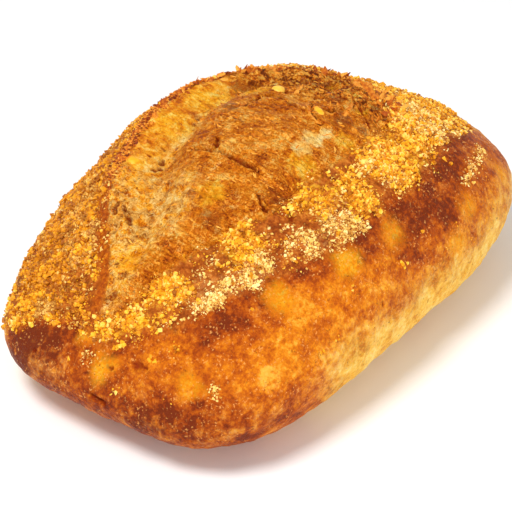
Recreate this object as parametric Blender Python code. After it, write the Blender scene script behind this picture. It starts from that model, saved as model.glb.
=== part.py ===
"""A wholegrain loaf with one long cut that burst wide open in the oven.

The loaf is a single solid: a rounded block of bread with a flat base, a fibrous mound of
burst dough along its top, the torn ear of crust that stands behind the mound, and, fused to
them, the torn flakes, the corn kernels in the burst and the largest grits of the coating.

Frame: metres, +Z up, X along the loaf, origin at the middle of the footprint, on the
surface that the loaf stands on. The narrow, blunt end points to -X and the ear is on +Y.
"""

import itertools
import math
import random

import bmesh
import bpy
import numpy as np
from mathutils import Euler, Matrix, Vector
from mathutils.bvhtree import BVHTree

# ---- driving dimensions, in metres ----------------------------------------------------
LENGTH = 0.230
WIDTH = 0.153
HEIGHT = 0.083

# The rounded block: how square it is in plan and in section, and how it slopes to its ends.
WIDEST_SHARE = 0.425        # height of the widest line, as a share of HEIGHT
BLUNT_END_SQUARENESS = 4.0  # plan exponent of the -X half
ROUND_END_SQUARENESS = 2.7  # plan exponent of the +X half
CROWN_SQUARENESS = 1.93     # section exponent above the widest line
BELLY_SQUARENESS = 2.3      # section exponent below it
BASE_DROP = 1.30            # how far the belly would round on below the flat base
CROWN_SHIFT = 0.088         # where the crown is highest, as a share of half the length
BLUNT_END_FALL = 0.296
ROUND_END_FALL = 0.274
END_FALL_POWER = 2.2
WIDTH_TAPER = 0.135         # how much wider the +X half grows than the -X half

# The burst cut, from its tip on the blunt end to its blunt head near the round end.
CUT_TIP = (-0.100, 0.007)
CUT_HEAD = (0.066, -0.010)
# The burst's edge in plan: from the tip along the ear, round the head, back along the flat side.
BURST_EDGE = (
    (-0.0958, 0.0060), (-0.0950, 0.0103), (-0.0910, 0.0122), (-0.0865, 0.0132), (-0.0820, 0.0156),
    (-0.0760, 0.0205), (-0.0694, 0.0258), (-0.0612, 0.0318), (-0.0522, 0.0372), (-0.0450, 0.0402),
    (-0.0380, 0.0428), (-0.0290, 0.0456), (-0.0200, 0.0480), (-0.0100, 0.0505),
    (0.0080, 0.0530), (0.0260, 0.0525), (0.0420, 0.0490), (0.0550, 0.0425), (0.0650, 0.0340),
    (0.0715, 0.0240), (0.0740, 0.0120), (0.0720, 0.0000), (0.0665, -0.0110), (0.0595, -0.0200),
    (0.0510, -0.0275), (0.0410, -0.0330), (0.0300, -0.0360), (0.0180, -0.0355), (0.0040, -0.0335),
    (-0.0100, -0.0322), (-0.0240, -0.0312), (-0.0370, -0.0288), (-0.0490, -0.0232), (-0.0600, -0.0160),
    (-0.0700, -0.0092), (-0.0770, -0.0050), (-0.0828, -0.0024), (-0.0875, -0.0006), (-0.0925, 0.0020),
)
EDGE_STEPS = 4              # straight pieces between two points of an outline
OPENING_POWER = 3.0         # how soon the burst opens to its full depth at its ends
BURST_SIDE_STEP = 0.004     # the burst's relief fades in over this much of its edge
EAR_SIDE_STEP = 0.010       # and the ear's side fades in over this much beside the cut's line

MOUND_RISE = 0.0022         # the burst dough's swell over the rounded block
MOUND_REACH = 0.017
VALLEY_DEPTH = 0.0062       # the trough between the mound and the ear
VALLEY_FROM_EAR = 0.0165
VALLEY_REACH = 0.0080
EAR_RISE = 0.0030           # the ear's rim over the crust behind it, where it stands highest
EAR_REACH_INSIDE = 0.0060
EAR_REACH_OUTSIDE = 0.0030
EAR_MIDDLE = 0.46           # share of the way along the cut where the ear stands highest
EAR_SPREAD = 0.30
SEAM_DEPTH = 0.0012         # the shallow seam where the mound meets the flat side
SEAM_REACH = 0.0030

# Torn layers of dough near the head of the cut, like overlapping tiles.
LAYER_STEP = 0.0105
LAYER_RISE = 0.0016
LAYERS_START = 0.55         # share of the way along the cut where they begin
LAYERS_FADE = 0.15
LAYERS_WIDTH = 0.020        # the layers fade out over this much on the flat side
LAYERS_SHIFT = 0.004
LAYERS_SLANT = 0.35         # how far each layer runs across the cut for each metre along it
LAYERS_WANDER = 0.4
LAYERS_WANDER_SIZE = 0.018

# Slow swellings of the whole block: where, how far they reach, and how much they rise.
SWELLINGS = (
    ((-0.004, 0.054, 0.070), 0.024, 0.0010),
    ((-0.100, 0.052, 0.026), 0.028, 0.0002),
    ((0.108, -0.004, 0.040), 0.030, 0.0014),
    ((0.040, 0.020, 0.080), 0.026, -0.0028),
    ((-0.070, 0.062, 0.045), 0.034, -0.0014),
    ((0.062, 0.055, 0.055), 0.026, -0.0014),
    ((0.078, 0.006, 0.066), 0.020, -0.0014),
    ((0.088, 0.008, 0.060), 0.020, -0.0012),
    ((-0.022, 0.063, 0.058), 0.016, -0.0014),
)

# Small lumps of the crust, and the strands that cross the burst.
LUMP_SIZES_AND_RISES = ((0.030, 0.0007), (0.015, 0.0006), (0.009, 0.0004))
STRAND_RISE = 0.0006
STRAND_ACROSS = 0.0075
STRAND_ALONG = 0.030
BASE_FREE_HEIGHT = 0.010    # the lumps fade out towards the base below this height

# Torn flakes that stand up from the cut's head and the ear: where the root and the tip lie in
# plan, how high the tip stands over the crust, and the width and thickness at the root.
FLAKES = (
    ((0.050, -0.0225), (0.0580, -0.0075), 0.0060, 0.0080, 0.0030),
    ((0.060, -0.0110), (0.0680, 0.0010), 0.0026, 0.0060, 0.0024),
    ((0.066, 0.0150), (0.0740, 0.0240), 0.0026, 0.0060, 0.0024),
    ((0.056, 0.0330), (0.0640, 0.0400), 0.0022, 0.0060, 0.0022),
    ((0.030, 0.0470), (0.0370, 0.0540), 0.0022, 0.0060, 0.0022),
    ((0.000, 0.0480), (0.0060, 0.0550), 0.0022, 0.0056, 0.0022),
    ((-0.038, 0.0395), (-0.0350, 0.0470), 0.0024, 0.0050, 0.0022),
)
FLAKE_ROOT_SINK = 0.0020
FLAKE_TIP_SHARE = 0.25      # width and thickness that are left at the tip

# Whole corn kernels that show in the burst: place in plan, heading in degrees, length and width.
KERNELS = (
    ((0.0208, -0.0118), 62, 0.0064, 0.0036),
    ((0.0318, 0.0140), 110, 0.0060, 0.0056),
    ((-0.0350, 0.0389), 70, 0.0064, 0.0056),
    ((0.0500, -0.0122), 75, 0.0062, 0.0032),
)
KERNEL_THICKNESS = 0.0036
KERNEL_SINK = 0.30          # share of its thickness by which a kernel's middle lies in the dough
KERNEL_TAPER = 0.35         # how much narrower than its middle a kernel is at its tip

# The corn grits that show from a step away.
GRIT_COUNT = 175
GRIT_RADII = (0.0025, 0.0014)   # the first and the last to be placed
GRIT_SPACING = 0.0066
GRIT_SINK = 0.35            # share of its radius that a grit's middle lies below the crust
GRIT_SEED = 20

# Where the coating of grits ends, in plan: along the flat side, round the head, the far side.
COAT_EDGE = (
    (-0.1030, 0.0040), (-0.0990, -0.0080), (-0.0945, -0.0160), (-0.0860, -0.0230), (-0.0790, -0.0290),
    (-0.0710, -0.0385), (-0.0590, -0.0440), (-0.0460, -0.0490), (-0.0350, -0.0525), (-0.0230, -0.0555),
    (-0.0050, -0.0560), (0.0100, -0.0560), (0.0220, -0.0570), (0.0350, -0.0565), (0.0480, -0.0545),
    (0.0600, -0.0530), (0.0720, -0.0505), (0.0830, -0.0480), (0.0920, -0.0400), (0.0990, -0.0280),
    (0.1020, -0.0120), (0.1030, 0.0060), (0.1010, 0.0240), (0.0950, 0.0400), (0.0850, 0.0530),
    (0.0700, 0.0620), (0.0500, 0.0680), (0.0250, 0.0705), (0.0000, 0.0705), (-0.0250, 0.0690),
    (-0.0500, 0.0665), (-0.0700, 0.0640), (-0.0880, 0.0610), (-0.0985, 0.0570), (-0.1045, 0.0490),
    (-0.1045, 0.0380), (-0.1018, 0.0270), (-0.1005, 0.0140),
)
COAT_WAVES = ((0.012, 0.0022, 31), (0.005, 0.0022, 32))     # size, depth and seed of its waviness
UPPER_HALF = 0.026          # nothing sticks to the crust below this height

# ---- mesh fineness ---------------------------------------------------------------------
BLOCKS_ALONG = 36
BLOCKS_ACROSS = 26
BLOCKS_UP = 9
EAR_FINE_REACH = 0.0060     # faces this near to the ear's rim are split once more
EAR_FINE_START = 0.004      # from this far across the cut's line
ON_BASE = 1e-6              # a point lower than this lies on the flat base
SMOOTH_LIMIT = math.radians(50)

CRUST_COLOUR = (0.56, 0.24, 0.055, 1.0)
CRUST_ROUGHNESS = 0.62


def start_clean():
    """Removes what the scene holds, and returns the loaf's collection and the one of its toppings."""
    for old in list(bpy.data.objects):
        bpy.data.objects.remove(old, do_unlink=True)
    made = []
    for name in ("wholegrain_loaf", "toppings_to_fuse"):
        collection = bpy.data.collections.new(name)
        bpy.context.scene.collection.children.link(collection)
        made.append(collection)
    return made


def make_material(name, colour, roughness):
    material = bpy.data.materials.new(name)
    material.use_nodes = True
    surface = material.node_tree.nodes["Principled BSDF"]
    surface.inputs["Base Color"].default_value = colour
    surface.inputs["Roughness"].default_value = roughness
    surface.inputs["Metallic"].default_value = 0.0
    return material


# ---- the rounded block -----------------------------------------------------------------
def block_form(cube):
    """Places points of a cube from -1 to 1 on the rounded block of bread."""
    x, y, z = np.abs(cube).T
    upper = cube[:, 2] > 0
    widest = WIDEST_SHARE * HEIGHT
    rise = np.where(upper, HEIGHT - widest, widest * BASE_DROP)
    section = np.where(upper, CROWN_SQUARENESS, BELLY_SQUARENESS)
    plan = np.where(cube[:, 0] > 0, ROUND_END_SQUARENESS, BLUNT_END_SQUARENESS)
    size = ((x**plan + y**plan) ** (section / plan) + z**section) ** (-1 / section)
    along = cube[:, 0] * size
    across = cube[:, 1] * size
    height = np.maximum(widest + rise * cube[:, 2] * size, 0)
    off_crown = along - CROWN_SHIFT
    fall = np.where(off_crown > 0, ROUND_END_FALL, BLUNT_END_FALL)
    height = height * (1 - fall * np.abs(off_crown) ** END_FALL_POWER)
    across = across * (1 + WIDTH_TAPER * along)
    return np.stack([along * LENGTH / 2, across * WIDTH / 2, height], axis=1)


# ---- smooth random relief ----------------------------------------------------------------
def soft_noise(points, seed):
    """Smooth noise from -1 to 1 whose lumps are about one unit of points across."""
    corner = np.floor(points).astype(np.int64)
    inside = points - corner
    inside = inside * inside * (3 - 2 * inside)
    total = np.zeros(len(points))
    for step in itertools.product((0, 1), repeat=3):
        i, j, k = (corner + step).T
        mixed = i * 374761393 + j * 668265263 + k * 1440662683 + seed * 1274126177
        mixed = (mixed ^ (mixed >> 13)) * 1103515245 & 0x7FFFFFFFFFFF
        mixed = mixed ^ (mixed >> 16)
        weight = np.where(step, inside, 1 - inside).prod(axis=1)
        total += weight * ((mixed & 0xFFFF) / 32767.5 - 1)
    return total


# ---- the burst cut -------------------------------------------------------------------------
def smooth_loop(points):
    """A closed line through the given points, rounded between them."""
    before, here, after, beyond = (np.roll(points, shift, axis=0)[:, None] for shift in (1, 0, -1, -2))
    share = np.arange(EDGE_STEPS)[None, :, None] / EDGE_STEPS
    bend = 2 * here + (after - before) * share
    bend = bend + (2 * before - 5 * here + 4 * after - beyond) * share**2
    bend = bend + (3 * here - before - 3 * after + beyond) * share**3
    return bend.reshape(-1, 2) / 2


def inward_distance(plan, loop):
    """Metres from points in plan to a closed line: positive inside it, negative outside."""
    nearest = np.full(len(plan), np.inf)
    inside = np.zeros(len(plan), dtype=bool)
    x, y = plan.T
    for start, end in zip(loop, np.roll(loop, -1, axis=0)):
        run = end - start
        share = np.clip(((plan - start) @ run) / (run @ run), 0, 1)
        off = plan - start - np.outer(share, run)
        nearest = np.minimum(nearest, (off * off).sum(axis=1))
        passed = (start[1] > y) != (end[1] > y)
        inside ^= passed & (x < start[0] + (y - start[1]) / (run[1] or 1) * run[0])
    return np.where(inside, 1, -1) * np.sqrt(nearest)


def burst_distance(plan):
    return inward_distance(plan, smooth_loop(BURST_EDGE))


def cut_place(plan):
    """Share of the way along the cut, and metres across it (+ is the ear's side)."""
    line = np.array(CUT_HEAD) - np.array(CUT_TIP)
    length = np.hypot(*line)
    ahead = line / length
    off_tip = plan - CUT_TIP
    return off_tip @ ahead / length, off_tip @ np.array((-ahead[1], ahead[0]))


def bump(distance, reach):
    return np.exp(-((distance / reach) ** 2))


def burst_relief(points, upward):
    """Rise of the mound, the valley, the ear and the torn layers over the rounded block."""
    share, across = cut_place(points[:, :2])
    edge = burst_distance(points[:, :2])
    opened = np.clip(1 - np.abs(2 * share - 1) ** OPENING_POWER, 0, 1)
    within = np.clip(edge / BURST_SIDE_STEP + 0.5, 0, 1)
    on_ear_side = np.clip(across / EAR_SIDE_STEP, 0, 1)

    relief = MOUND_RISE * bump(across, MOUND_REACH) * within * opened
    relief -= VALLEY_DEPTH * bump(edge - VALLEY_FROM_EAR, VALLEY_REACH) * within * opened * on_ear_side
    ear_height = bump(share - EAR_MIDDLE, EAR_SPREAD)
    ear_reach = np.where(edge > 0, EAR_REACH_INSIDE, EAR_REACH_OUTSIDE)
    relief += EAR_RISE * bump(edge, ear_reach) * on_ear_side * ear_height
    relief -= SEAM_DEPTH * bump(edge - SEAM_REACH, SEAM_REACH) * (1 - on_ear_side) * within

    layered = np.clip((share - LAYERS_START) / LAYERS_FADE, 0, 1) * within
    layered *= np.clip((across + LAYERS_SHIFT) / LAYERS_WIDTH, 0, 1)
    wander = LAYERS_WANDER * soft_noise(points / LAYERS_WANDER_SIZE, 5)
    layer = (across + LAYERS_SLANT * (points[:, 0] - CUT_HEAD[0])) / LAYER_STEP + wander
    relief += LAYER_RISE * layered * (layer - np.floor(layer) - 0.5)

    relief += STRAND_RISE * soft_noise(points / (STRAND_ACROSS, STRAND_ALONG, STRAND_ALONG), 9) * within
    return relief * upward


def crust_relief(points):
    """Swellings and lumps over the whole loaf, none of them on its flat base."""
    relief = np.zeros(len(points))
    for middle, reach, rise in SWELLINGS:
        relief += rise * bump(np.linalg.norm(points - middle, axis=1), reach)
    for seed, (size, rise) in enumerate(LUMP_SIZES_AND_RISES, start=1):
        relief += rise * soft_noise(points / size, seed)
    return relief * np.clip(points[:, 2] / BASE_FREE_HEIGHT, 0, 1)


# ---- the loaf --------------------------------------------------------------------------------
def divided_cube():
    """A cube primitive from -1 to 1, divided into as many blocks along each axis as the loaf needs."""
    shape = bmesh.new()
    bmesh.ops.create_cube(shape, size=2.0)
    for axis, blocks in enumerate((BLOCKS_ALONG, BLOCKS_ACROSS, BLOCKS_UP)):
        along_axis = []
        for edge in shape.edges:
            run = edge.verts[1].co - edge.verts[0].co
            if abs(run[axis]) > 1.0:
                along_axis.append(edge)
        bmesh.ops.subdivide_edges(shape, edges=along_axis, cuts=blocks - 1, use_grid_fill=True)
    return shape


def cube_points(shape):
    """The cube's points, drawn towards the middle of each face so that blocks come out alike in size."""
    flat = np.array([vertex.co for vertex in shape.verts])
    return np.tan(flat * math.pi / 4)


def place_points(shape, points):
    for vertex, point in zip(shape.verts, points):
        vertex.co = point
    shape.normal_update()


def refine_ear(shape):
    """Splits the faces beside the ear's rim, so that the rim comes out as a crisp edge."""
    points = block_form(cube_points(shape))
    top = np.array([vertex.co.z > 0.999 for vertex in shape.verts])
    _, across = cut_place(points[:, :2])
    from_edge = np.abs(burst_distance(points[:, :2]))
    near = top & (from_edge < EAR_FINE_REACH) & (across > EAR_FINE_START)
    shape.verts.index_update()
    split = [edge for edge in shape.edges if all(near[vertex.index] for vertex in edge.verts)]
    bmesh.ops.subdivide_edges(shape, edges=split, cuts=1, use_grid_fill=True)
    bmesh.ops.triangulate(shape, faces=[face for face in shape.faces if len(face.verts) > 4])


def make_loaf(collection):
    shape = divided_cube()
    refine_ear(shape)
    block = block_form(cube_points(shape))
    place_points(shape, block)
    normals = np.array([vertex.normal for vertex in shape.verts])
    upward = np.clip(normals[:, 2] * 2, 0, 1)
    rise = burst_relief(block, upward) + crust_relief(block)
    points = block + normals * rise[:, None]
    on_base = block[:, 2] < ON_BASE
    points[on_base, 2] = 0
    points[:, 2] = np.maximum(points[:, 2], 0)
    low, high = points.min(axis=0), points.max(axis=0)
    points[:, :2] -= (low + high)[:2] / 2
    place_points(shape, points)

    base = [face for face in shape.faces if all(vertex.co.z < ON_BASE for vertex in face.verts)]
    bmesh.ops.dissolve_faces(shape, faces=base, use_verts=True)
    bmesh.ops.triangulate(shape, faces=shape.faces)
    mesh = bpy.data.meshes.new("loaf")
    shape.to_mesh(mesh)
    shape.free()
    loaf = bpy.data.objects.new("loaf", mesh)
    collection.objects.link(loaf)
    return loaf


# ---- the coating of corn grits -----------------------------------------------------------------
def coated(points):
    """True where grits stick to the crust: inside the coating's wavy edge, and outside the burst."""
    wave = sum(depth * soft_noise(points / size, seed) for size, depth, seed in COAT_WAVES)
    on_coat = inward_distance(points[:, :2], smooth_loop(COAT_EDGE)) + wave > GRIT_RADII[1]
    clear_of_burst = burst_distance(points[:, :2]) < -GRIT_RADII[0]
    return on_coat & clear_of_burst & (points[:, 2] > UPPER_HALF)


def add_topping(name, shape, place, turn, collection):
    """Turns a finished shape into a topping, placed and turned as given."""
    mesh = bpy.data.meshes.new(name)
    shape.to_mesh(mesh)
    shape.free()
    topping = bpy.data.objects.new(name, mesh)
    topping.location = place
    topping.rotation_mode = "QUATERNION"
    topping.rotation_quaternion = turn
    collection.objects.link(topping)


def make_grit(number, place, normal, radius, draw, collection):
    """One corn grit: an icosphere with uneven corners, squashed a little onto the crust."""
    shape = bmesh.new()
    bmesh.ops.create_icosphere(shape, subdivisions=1, radius=radius)
    for vertex in shape.verts:
        vertex.co *= draw.uniform(0.78, 1.12)
    stretch = Vector((draw.uniform(1.0, 1.35), draw.uniform(0.85, 1.0), draw.uniform(0.75, 0.95)))
    turn = Euler([draw.uniform(0, math.tau) for _ in range(3)]).to_matrix()
    bmesh.ops.transform(shape, matrix=Matrix.Diagonal(stretch) @ turn, verts=shape.verts)
    sunk_place = place - normal * radius * GRIT_SINK
    add_topping(f"grit_{number:03d}", shape, sunk_place, normal.to_track_quat("Z", "Y"), collection)


def scatter_grits(loaf, collection):
    """Places the grits largest first, evenly over the coated crust, each clear of the last ones."""
    draw = random.Random(GRIT_SEED)
    faces = [face for face in loaf.data.polygons if face.center.z > UPPER_HALF]
    centres = np.array([face.center for face in faces])
    allowed = np.flatnonzero(coated(centres)).tolist()
    draw.shuffle(allowed)
    placed = []
    for index in allowed:
        if len(placed) == GRIT_COUNT:
            break
        place = faces[index].center.copy()
        if any((place - other).length < GRIT_SPACING for other in placed):
            continue
        share = len(placed) / GRIT_COUNT
        radius = GRIT_RADII[0] + (GRIT_RADII[1] - GRIT_RADII[0]) * share
        make_grit(len(placed), place, faces[index].normal, radius, draw, collection)
        placed.append(place)


# ---- the flakes and the kernels -----------------------------------------------------------------
def crust_under(tree, place):
    """The point of the crust right below a place in plan, and the crust's normal there."""
    return tree.ray_cast(Vector((*place, 2 * HEIGHT)), Vector((0, 0, -1)))[:2]


def turn_towards(ahead, upward):
    """The rotation that points a shape's X ahead, with its Z as near to upward as that leaves."""
    sideways = upward.cross(ahead).normalized()
    return Matrix((ahead, sideways, ahead.cross(sideways))).transposed().to_quaternion()


def make_flake(number, tree, root, tip, tip_rise, width, thickness, collection):
    """One torn flake: a box drawn out to a blade, wide and sunk at its root and thin at its tip."""
    root = crust_under(tree, root)[0] - Vector((0, 0, FLAKE_ROOT_SINK))
    tip = crust_under(tree, tip)[0] + Vector((0, 0, tip_rise))
    length = (tip - root).length
    shape = bmesh.new()
    bmesh.ops.create_cube(shape, size=1.0)
    for vertex in shape.verts:
        along = vertex.co.x + 0.5
        left = 1 - (1 - FLAKE_TIP_SHARE) * along
        vertex.co = Vector((along * length, vertex.co.y * width * left, vertex.co.z * thickness * left))
    turn = turn_towards((tip - root).normalized(), Vector((0, 0, 1)))
    add_topping(f"flake_{number}", shape, root, turn, collection)


def make_kernel(number, tree, place, heading, length, width, collection):
    """One corn kernel: plump at one end, narrow at the other, and half sunk in the dough."""
    spot, normal = crust_under(tree, place)
    shape = bmesh.new()
    bmesh.ops.create_icosphere(shape, subdivisions=2, radius=0.5)
    for vertex in shape.verts:
        left = 1 - KERNEL_TAPER * 2 * vertex.co.x
        vertex.co *= Vector((length, width * left, KERNEL_THICKNESS))
    ahead = Vector((math.cos(math.radians(heading)), math.sin(math.radians(heading)), 0))
    ahead = (ahead - normal * ahead.dot(normal)).normalized()
    sunk_place = spot - normal * KERNEL_THICKNESS * KERNEL_SINK
    add_topping(f"kernel_{number}", shape, sunk_place, turn_towards(ahead, normal), collection)


def add_flakes_and_kernels(loaf, collection):
    corners = [vertex.co for vertex in loaf.data.vertices]
    faces = [face.vertices for face in loaf.data.polygons]
    tree = BVHTree.FromPolygons(corners, faces)
    for number, (root, tip, tip_rise, width, thickness) in enumerate(FLAKES, start=1):
        make_flake(number, tree, root, tip, tip_rise, width, thickness, collection)
    for number, (place, heading, length, width) in enumerate(KERNELS, start=1):
        make_kernel(number, tree, place, heading, length, width, collection)


def fuse(loaf, collection):
    """One Boolean union of the loaf with all that lies on it, applied, and the loose pieces removed."""
    union = loaf.modifiers.new("fuse_toppings", "BOOLEAN")
    union.operation = "UNION"
    union.operand_type = "COLLECTION"
    union.collection = collection
    union.solver = "MANIFOLD"
    graph = bpy.context.evaluated_depsgraph_get()
    fused = bpy.data.meshes.new_from_object(loaf.evaluated_get(graph))
    loaf.modifiers.clear()
    loaf.data = fused
    for topping in list(collection.objects):
        bpy.data.objects.remove(topping, do_unlink=True)
    bpy.data.collections.remove(collection)


def build():
    loaf_collection, toppings = start_clean()
    loaf = make_loaf(loaf_collection)
    scatter_grits(loaf, toppings)
    add_flakes_and_kernels(loaf, toppings)
    fuse(loaf, toppings)
    loaf.data.materials.clear()
    loaf.data.materials.append(make_material("baked_crust", CRUST_COLOUR, CRUST_ROUGHNESS))
    loaf.data.shade_smooth()
    loaf.data.set_sharp_from_angle(angle=SMOOTH_LIMIT)


build()
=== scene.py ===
import itertools
import math

import bmesh
import bpy
import numpy as np
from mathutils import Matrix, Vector
from mathutils.bvhtree import BVHTree


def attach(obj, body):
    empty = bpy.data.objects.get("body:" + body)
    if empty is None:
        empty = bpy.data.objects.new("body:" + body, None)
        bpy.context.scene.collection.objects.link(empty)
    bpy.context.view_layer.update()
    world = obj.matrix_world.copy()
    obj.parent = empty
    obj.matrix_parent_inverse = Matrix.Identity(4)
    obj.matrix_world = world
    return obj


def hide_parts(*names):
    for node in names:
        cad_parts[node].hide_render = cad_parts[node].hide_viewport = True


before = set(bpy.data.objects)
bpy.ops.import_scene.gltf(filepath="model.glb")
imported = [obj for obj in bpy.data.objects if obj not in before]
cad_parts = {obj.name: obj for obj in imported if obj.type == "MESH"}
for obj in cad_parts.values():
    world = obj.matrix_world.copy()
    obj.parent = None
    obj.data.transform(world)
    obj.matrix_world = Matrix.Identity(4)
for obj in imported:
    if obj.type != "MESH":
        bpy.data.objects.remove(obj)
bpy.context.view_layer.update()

# ==== The table, the light and the camera ================================================
# The loaf stands on a plain white table top under soft studio light: a wide lamp above it, a
# weaker one low on the right, and an even white surrounding. None of it is part of the loaf.
VIEW_AZIMUTH = math.radians(-56.14)
VIEW_ELEVATION = math.radians(36.0)
VIEW_DISTANCE = 0.80
VIEW_TARGET = Vector((-0.0247, -0.0123, 0.0400))
SENSOR_WIDTH = 36.0
FOCAL_LENGTH = 142.9
TABLE_SIZE = 6.0
TABLE_WHITE = 0.93
SURROUND_STRENGTH = 0.60
# Each lamp: its place as metres to the right of, above and in front of the loaf, size and power.
LAMPS = {
    "key_lamp": ((-0.35, 1.05, 0.35), 0.40, 10.0),
    "fill_lamp": ((0.70, 0.25, 0.80), 0.60, 4.0),
}

toward_camera = Vector((
    math.sin(VIEW_AZIMUTH) * math.cos(VIEW_ELEVATION),
    -math.cos(VIEW_AZIMUTH) * math.cos(VIEW_ELEVATION),
    math.sin(VIEW_ELEVATION),
))
rightward = Vector((math.cos(VIEW_AZIMUTH), math.sin(VIEW_AZIMUTH), 0))
level_forward = Vector((toward_camera.x, toward_camera.y, 0)).normalized()


def into_scene(thing):
    bpy.context.scene.collection.objects.link(thing)
    return thing


camera = into_scene(bpy.data.objects.new("camera", bpy.data.cameras.new("camera")))
camera.data.sensor_width = SENSOR_WIDTH
camera.data.lens = FOCAL_LENGTH
camera.data.clip_start = 0.01
camera.location = VIEW_TARGET + toward_camera * VIEW_DISTANCE
camera.rotation_euler = (-toward_camera).to_track_quat("-Z", "Y").to_euler()
bpy.context.scene.camera = camera
bpy.context.scene.view_settings.view_transform = "Standard"

for name, (place, size, power) in LAMPS.items():
    lamp = into_scene(bpy.data.objects.new(name, bpy.data.lights.new(name, "AREA")))
    lamp.data.shape = "DISK"
    lamp.data.size = size
    lamp.data.energy = power
    right, above, front = place
    lamp.location = VIEW_TARGET + rightward * right + level_forward * front + Vector((0, 0, above))
    lamp.rotation_euler = (lamp.location - VIEW_TARGET).to_track_quat("Z", "Y").to_euler()

surround = bpy.data.worlds.new("white_surround")
surround.use_nodes = True
surround.node_tree.nodes["Background"].inputs["Color"].default_value = (1, 1, 1, 1)
surround.node_tree.nodes["Background"].inputs["Strength"].default_value = SURROUND_STRENGTH
bpy.context.scene.world = surround

table_shape = bmesh.new()
bmesh.ops.create_grid(table_shape, x_segments=1, y_segments=1, size=TABLE_SIZE / 2)
table = into_scene(bpy.data.objects.new("table_top", bpy.data.meshes.new("table_top")))
table_shape.to_mesh(table.data)
table_shape.free()
table_white = bpy.data.materials.new("table_white")
table_white.use_nodes = True
table_surface = table_white.node_tree.nodes["Principled BSDF"]
table_surface.inputs["Base Color"].default_value = (TABLE_WHITE, TABLE_WHITE, TABLE_WHITE, 1)
table_surface.inputs["Roughness"].default_value = 0.8
table.data.materials.append(table_white)

# ==== The loaf's body ======================================================================
# One piece of baked dough: a rounded block with a flat base. A single long cut in its top
# burst open in the oven, so a mound of fibrous dough swelled out, and the crust beside the
# cut lifted into an ear, with a valley between the two.
LENGTH = 0.230
WIDTH = 0.153
HEIGHT = 0.083
WIDEST_SHARE = 0.425
BLUNT_END_SQUARENESS = 4.0
ROUND_END_SQUARENESS = 2.7
CROWN_SQUARENESS = 1.93
BELLY_SQUARENESS = 2.3
BASE_DROP = 1.30
CROWN_SHIFT = 0.088
BLUNT_END_FALL = 0.296
ROUND_END_FALL = 0.274
END_FALL_POWER = 2.2
WIDTH_TAPER = 0.135

CUT_TIP = (-0.100, 0.007)
CUT_HEAD = (0.066, -0.010)
# The burst's edge in plan: from the tip along the ear, round the head, back along the flat side.
BURST_EDGE = (
    (-0.0958, 0.0060), (-0.0950, 0.0103), (-0.0910, 0.0122), (-0.0865, 0.0132), (-0.0820, 0.0156),
    (-0.0760, 0.0205), (-0.0694, 0.0258), (-0.0612, 0.0318), (-0.0522, 0.0372), (-0.0450, 0.0402),
    (-0.0380, 0.0428), (-0.0290, 0.0456), (-0.0200, 0.0480), (-0.0100, 0.0505),
    (0.0080, 0.0530), (0.0260, 0.0525), (0.0420, 0.0490), (0.0550, 0.0425), (0.0650, 0.0340),
    (0.0715, 0.0240), (0.0740, 0.0120), (0.0720, 0.0000), (0.0665, -0.0110), (0.0595, -0.0200),
    (0.0510, -0.0275), (0.0410, -0.0330), (0.0300, -0.0360), (0.0180, -0.0355), (0.0040, -0.0335),
    (-0.0100, -0.0322), (-0.0240, -0.0312), (-0.0370, -0.0288), (-0.0490, -0.0232), (-0.0600, -0.0160),
    (-0.0700, -0.0092), (-0.0770, -0.0050), (-0.0828, -0.0024), (-0.0875, -0.0006), (-0.0925, 0.0020),
)
EDGE_STEPS = 4
OPENING_POWER = 3.0
BURST_SIDE_STEP = 0.004
EAR_SIDE_STEP = 0.010

MOUND_RISE = 0.0022
MOUND_REACH = 0.017
VALLEY_DEPTH = 0.0062
VALLEY_FROM_EAR = 0.0165
VALLEY_REACH = 0.0080
EAR_RISE = 0.0030
EAR_REACH_INSIDE = 0.0060
EAR_REACH_OUTSIDE = 0.0030
EAR_MIDDLE = 0.46
EAR_SPREAD = 0.30
SEAM_DEPTH = 0.0012
SEAM_REACH = 0.0030
LAYER_STEP = 0.0105
LAYER_RISE = 0.0016
LAYERS_START = 0.55
LAYERS_FADE = 0.15
LAYERS_WIDTH = 0.020
LAYERS_SHIFT = 0.004
LAYERS_SLANT = 0.35
LAYERS_WANDER = 0.4
LAYERS_WANDER_SIZE = 0.018
SWELLINGS = (
    ((-0.004, 0.054, 0.070), 0.024, 0.0010),
    ((-0.100, 0.052, 0.026), 0.028, 0.0002),
    ((0.108, -0.004, 0.040), 0.030, 0.0014),
    ((0.040, 0.020, 0.080), 0.026, -0.0028),
    ((-0.070, 0.062, 0.045), 0.034, -0.0014),
    ((0.062, 0.055, 0.055), 0.026, -0.0014),
    ((0.078, 0.006, 0.066), 0.020, -0.0014),
    ((0.088, 0.008, 0.060), 0.020, -0.0012),
    ((-0.022, 0.063, 0.058), 0.016, -0.0014),
)
LUMP_SIZES_AND_RISES = ((0.030, 0.0007), (0.015, 0.0006), (0.009, 0.0004))
STRAND_RISE = 0.0006
STRAND_ACROSS = 0.0075
STRAND_ALONG = 0.030
BASE_FREE_HEIGHT = 0.010

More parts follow.
